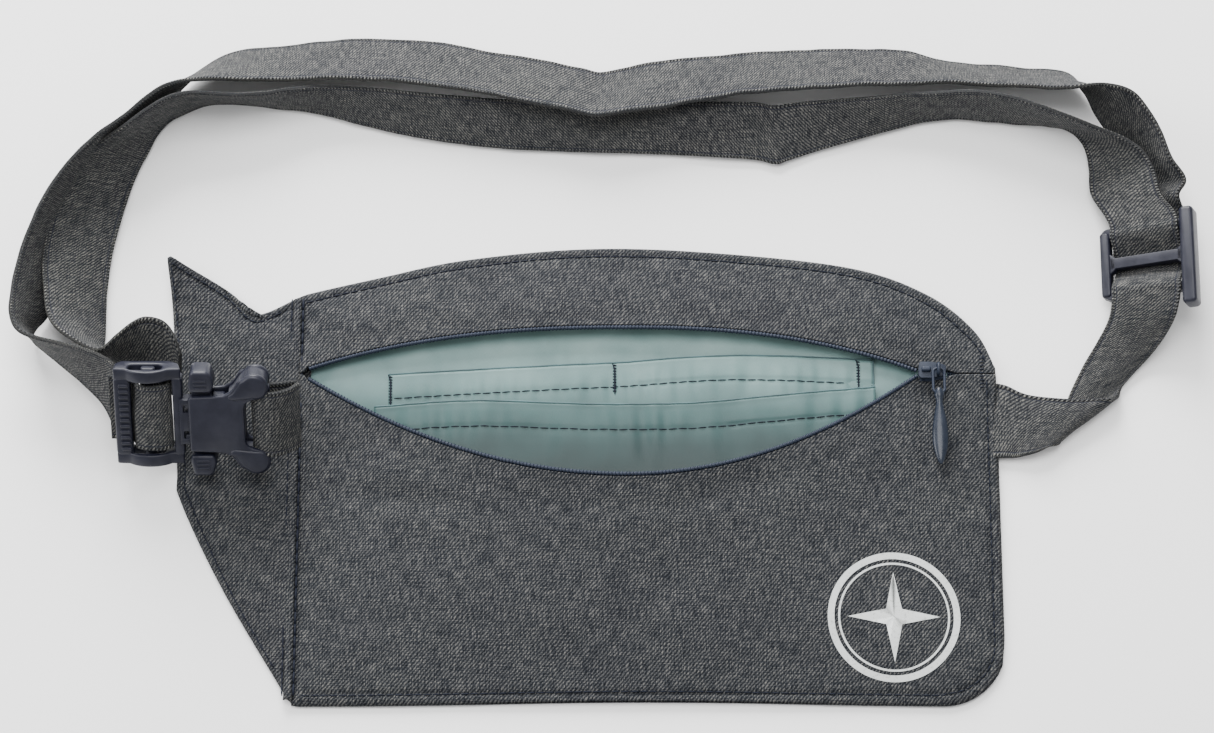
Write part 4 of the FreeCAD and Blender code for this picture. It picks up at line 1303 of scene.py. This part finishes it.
def belt():
    half = WEBBING_WIDTH / 2
    weave = [(-13.4, 2.7), (-9.9, 2.7), (-2.9, -2.7), (2.9, -2.7), (9.9, 2.7), (13.4, 2.7)]
    woven = [[tuple(IN_TRIGLIDE @ Vector((x, y, z))) for x in (-half, half)] for y, z in weave]
    inner = ribbon("belt_inner_webbing", ANCHOR_STATIONS + woven + INNER_STATIONS,
                   ["belt_anchor", "belt_weave", "belt_inner_right", "belt_inner_left"], 2.0)
    outer = ribbon("belt_outer_webbing", OUTER_STATIONS,
                   ["belt_outer_right", "belt_outer_left"], 3.0)
    for ob in (inner, outer):
        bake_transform(ob)


# ---- buckle -------------------------------------------------------------------------------
IN_BUCKLE = Matrix.Translation(BUCKLE_AT) @ Matrix.Rotation(BUCKLE_TILT, 4, "X")
BUCKLE_RIDGES = 12


def moulded(place, *shapes):
    """Mouldings of the buckle's plastic; a shape is (name, outline, low, high, bevel[, holes])."""
    return [moulding(name, outline, low, high, MOULDED, bevel, place, *holes)
            for name, outline, low, high, bevel, *holes in shapes]


def mirrored(points):
    return [(x, -y) for x, y in reversed(points)]


SIDEWAYS = Matrix(((1, 0, 0, 0), (0, 0, 1, 0), (0, 1, 0, 0), (0, 0, 0, 1)))
IN_FRAME = IN_BUCKLE @ Matrix.Translation((0, 1.5, -1.2))


def plug():
    """Webbing frame with arched side rails, each slotted for the end of the adjuster bar."""
    parts = moulded(IN_FRAME,
                    ("plug_left_bar", rounded_box(-26.6, -20.9, -15.2, 15.2, 1.6), -2.4, 2.6, 0.8),
                    ("plug_right_bar", rounded_box(-6.3, -2.8, -15.2, 15.2, 1.0), -2.4, 2.6, 0.7))
    arch = ([(-26.2, -2.4), (-24.0, -4.2), (-7.4, -4.2), (-4.2, -2.4), (-3.0, 2.2)]
            + arc_points(-14.9, -7.2, 12.3, 52, 128, 12) + [(-26.6, 2.2)])
    slot = rounded_box(-21.4, -9.6, -1.5, 2.3, 1.6)
    for side in (-1, 1):
        a, b = sorted((side * 14.2, side * 18.7))
        parts += moulded(IN_FRAME @ SIDEWAYS, (f"plug_rail_{side + 1}", arch, a, b, 0.9, [slot]))
    for k in range(BUCKLE_RIDGES):
        y = -12.4 + 24.8 * k / (BUCKLE_RIDGES - 1)
        ridge = rounded_box(-24.8, -21.3, y - 0.6, y + 0.6, 0.5)
        parts += moulded(IN_FRAME, (f"plug_ridge_{k}", ridge, 2.2, 3.3, 0.3))
    neck = [(-4.0, -8.9), (-2.0, -8.6), (0.6, -8.6), (0.6, 8.6), (-2.0, 8.6), (-4.0, 8.9)]
    slots = [rounded_box(-2.7, -0.9, 3.6, 6.6, 0.4), rounded_box(-2.7, -0.9, -6.6, -3.6, 0.4)]
    parts += moulded(IN_BUCKLE, ("plug_neck", neck, -2.3, 2.3, 0.4, slots),
                     ("plug_tongue", rounded_box(-1.0, 13.0, -2.2, 2.2, 1.0), -1.8, 1.8, 0.3))
    ob = join("buckle_plug_moulding", parts)
    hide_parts("buckle_plug")
    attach(ob, "plug")


def prong(name, node_name, side, body):
    def flip(points):
        return points if side > 0 else mirrored(points)
    arm = flip([(-2.2, 5.2), (0.5, 5.6), (13.0, 6.4), (13.0, 7.6), (11.6, 10.0), (7.8, 10.2),
                (7.4, 8.6), (6.6, 12.9), (0.4, 12.9), (0.2, 8.4), (-2.2, 8.2)])
    pad = flip(arc_points(2.0, 18.6, 1.9, 180, 90, 4) + arc_points(5.4, 18.4, 2.1, 90, 10, 4)
               + [(8.4, 15.4), (7.6, 12.4), (-0.4, 12.4), (-0.6, 15.0)])
    parts = moulded(IN_BUCKLE, (f"{name}_arm", arm, -1.9, 1.9, 0.3),
                    (f"{name}_pad", pad, -4.4, 4.4, 1.1))
    for k in range(3):
        y = 14.2 + 1.5 * k
        ridge = flip(rounded_box(1.4, 6.0, y - 0.35, y + 0.35, 0.3))
        parts += moulded(IN_BUCKLE, (f"{name}_rib_{k}", ridge, 4.1, 4.75, 0.2))
    ob = join(name, parts)
    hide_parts(node_name)
    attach(ob, body)


def socket():
    top = (arc_points(0.5, 9.6, 1.1, 180, 90, 3)
           + [(8.0, 11.0), (11.5, 11.4), (13.8, 12.6), (15.4, 14.6), (16.8, 17.2)]
           + arc_points(22.4, 14.6, 4.9, 142, -60, 14)
           + [(21.2, 9.4), (19.2, 8.4), (18.6, 6.5)])
    outline = top + mirrored(top)
    parts = moulded(IN_BUCKLE, ("socket_plate_front", outline, 2.6, 4.7, 0.8),
                    ("socket_plate_back", outline, -4.6, -2.6, 0.8))
    hook = ([(12.6, 11.2), (14.6, 12.5), (16.2, 14.8), (17.6, 17.2)]
            + arc_points(22.2, 14.5, 4.7, 140, -60, 16) + [(21.8, 10.3), (19.5, 10.0), (14.4, 9.4)])
    parts += moulded(IN_BUCKLE, ("socket_ear_upper", hook, -5.0, 5.2, 2.0),
                     ("socket_ear_lower", mirrored(hook), -5.0, 5.2, 2.0),
                     ("socket_wall", rounded_box(16.0, 18.5, -12.0, 12.0, 0.6), -2.8, 2.8, 0.2),
                     ("socket_bar", rounded_box(24.1, 27.4, -13.6, 13.6, 0.8), -1.6, 1.6, 0.5))
    ob = join("buckle_socket_moulding", parts)
    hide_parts("buckle_socket")
    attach(ob, "pouch")


def adjuster_bar():
    """Bar with rounded ends that show in the frame's side slots."""
    core = rounded_box(-15.9, -12.9, -16.2, 16.2, 1.2)
    end = rounded_box(-17.0, -12.0, -1.0, 1.7, 1.2)
    parts = moulded(IN_FRAME, ("bar_core", core, -0.7, 0.7, 0.4))
    for side in (-1, 1):
        a, b = sorted((side * 15.0, side * 18.4))
        parts += moulded(IN_FRAME @ SIDEWAYS, (f"bar_end_{side}", end, a, b, 0.5))
    ob = join("adjuster_bar_moulding", parts)
    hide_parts("adjuster_bar")
    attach(ob, "adjuster")


def strip_through(name, path, replaced, body, seed, place):
    """A short piece of webbing across the buckle; path gives its length and height."""
    half = WEBBING_WIDTH / 2
    placed = [(tuple(place @ Vector((x, -half, z))), tuple(place @ Vector((x, half, z))))
              for x, z in path]
    ob = ribbon(name, placed, replaced, seed, 3.0)
    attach(ob, body)


def wraps():
    turn_path = [(-29.0, -5.0), (-25.0, -4.7), (-21.5, -3.6), (-19.4, -0.6), (-18.4, 2.0),
                 (-15.0, 3.5), (-10.4, 3.4), (-7.8, 1.8), (-7.2, -1.0), (-8.6, -3.2),
                 (-12.5, -4.2), (-18.0, -4.9)]
    strip_through("plug_wrap_webbing", turn_path, ["plug_wrap"], "plug", 6.0, IN_FRAME)
    loop_path = [(37.0, -5.5), (31.0, -3.9), (25.5, -3.4), (21.9, -1.4), (21.7, 1.2), (24.5, 3.3),
                 (29.0, 3.6), (34.0, 0.5), (37.0, -3.6)]
    strip_through("socket_loop_webbing", loop_path, ["socket_loop"], "pouch", 7.0, IN_BUCKLE)


def triglide():
    outline = rounded_box(-16.5, 16.5, -13.5, 13.5, 3.0)
    holes = [rounded_box(-13.2, 13.2, 2.0, 10.3, 0.8), rounded_box(-13.2, 13.2, -10.3, -2.0, 0.8)]
    left_rail = rounded_box(-16.8, -13.2, -12.6, 12.2, 1.3)
    right_rail = rounded_box(13.0, 18.2, -19.4, 17.2, 1.6)
    parts = moulded(IN_TRIGLIDE, ("triglide_ring", outline, -1.6, 1.6, 0.8, holes),
                    ("triglide_rail_left", left_rail, -2.6, 2.2, 0.9),
                    ("triglide_rail_right", right_rail, -3.4, 3.6, 1.2))
    for s in (-1, 1):
        flare = [(s * 13.9, -4.4), (s * 11.2, -2.1), (s * 11.2, 2.1), (s * 13.9, 4.4)]
        parts += moulded(IN_TRIGLIDE, (f"triglide_flare_{s}", flare, -1.6, 1.6, 0.5))
    ob = join("triglide_moulding", parts)
    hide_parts("triglide")
    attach(ob, "strap_adjuster")


# ---- stage --------------------------------------------------------------------------------
VIEW_ELEVATION = math.radians(70)
VIEW_TARGET = Vector((-0.0148, 0.0400, 0.0))
VIEW_DISTANCE = 1.5
VIEW_WIDTH = 0.4305


def stage():
    floor_mesh = bpy.data.meshes.new("floor")
    floor_mesh.from_pydata([(-3, -3, 0), (3, -3, 0), (3, 3, 0), (-3, 3, 0)], [], [(0, 1, 2, 3)])
    floor = in_scene("floor", floor_mesh)
    floor.location = (0, 0, -0.0002)
    material, _, bsdf = shader("floor_paper", 0.9)
    bsdf.inputs["Base Color"].default_value = (0.96, 0.96, 0.96, 1)
    floor_mesh.materials.append(material)
    world = bpy.data.worlds.new("soft_sky")
    world.use_nodes = True
    background = world.node_tree.nodes["Background"]
    background.inputs[0].default_value = (1.0, 1.0, 1.0, 1)
    background.inputs[1].default_value = 0.82
    bpy.context.scene.world = world
    for name, place, size, power in (("window", (-0.3, 1.4, 0.75), 0.9, 68.0),
                                     ("side", (-1.3, 0.2, 0.9), 0.8, 15.0),
                                     ("top", (0.0, 0.35, 1.8), 1.0, 24.0)):
        data = bpy.data.lights.new(name, "AREA")
        data.energy = power
        data.size = size
        lamp = in_scene(name, data)
        lamp.location = place
        aim = Vector((0, 0.04, 0)) - Vector(place)
        lamp.rotation_euler = aim.to_track_quat("-Z", "Y").to_euler()
    camera_data = bpy.data.cameras.new("camera")
    camera_data.sensor_width = 36.0
    camera_data.lens = 36.0 * VIEW_DISTANCE / VIEW_WIDTH
    camera = in_scene("camera", camera_data)
    direction = Vector((0, -math.cos(VIEW_ELEVATION), math.sin(VIEW_ELEVATION)))
    camera.location = VIEW_TARGET + direction * VIEW_DISTANCE
    camera.rotation_euler = (-direction).to_track_quat("-Z", "Y").to_euler()
    bpy.context.scene.camera = camera


stage()
lower_points = front_lower()
upper_points = front_upper()
back_panel()
wing()
seam_welt()
front_stitching(lower_points, upper_points)
emblem()
inside()
zip_parts()
slider()
pull()
belt()
plug()
prong("upper_prong_moulding", "upper_prong", 1, "upper_catch")
prong("lower_prong_moulding", "lower_prong", -1, "lower_catch")
socket()
adjuster_bar()
wraps()
triglide()
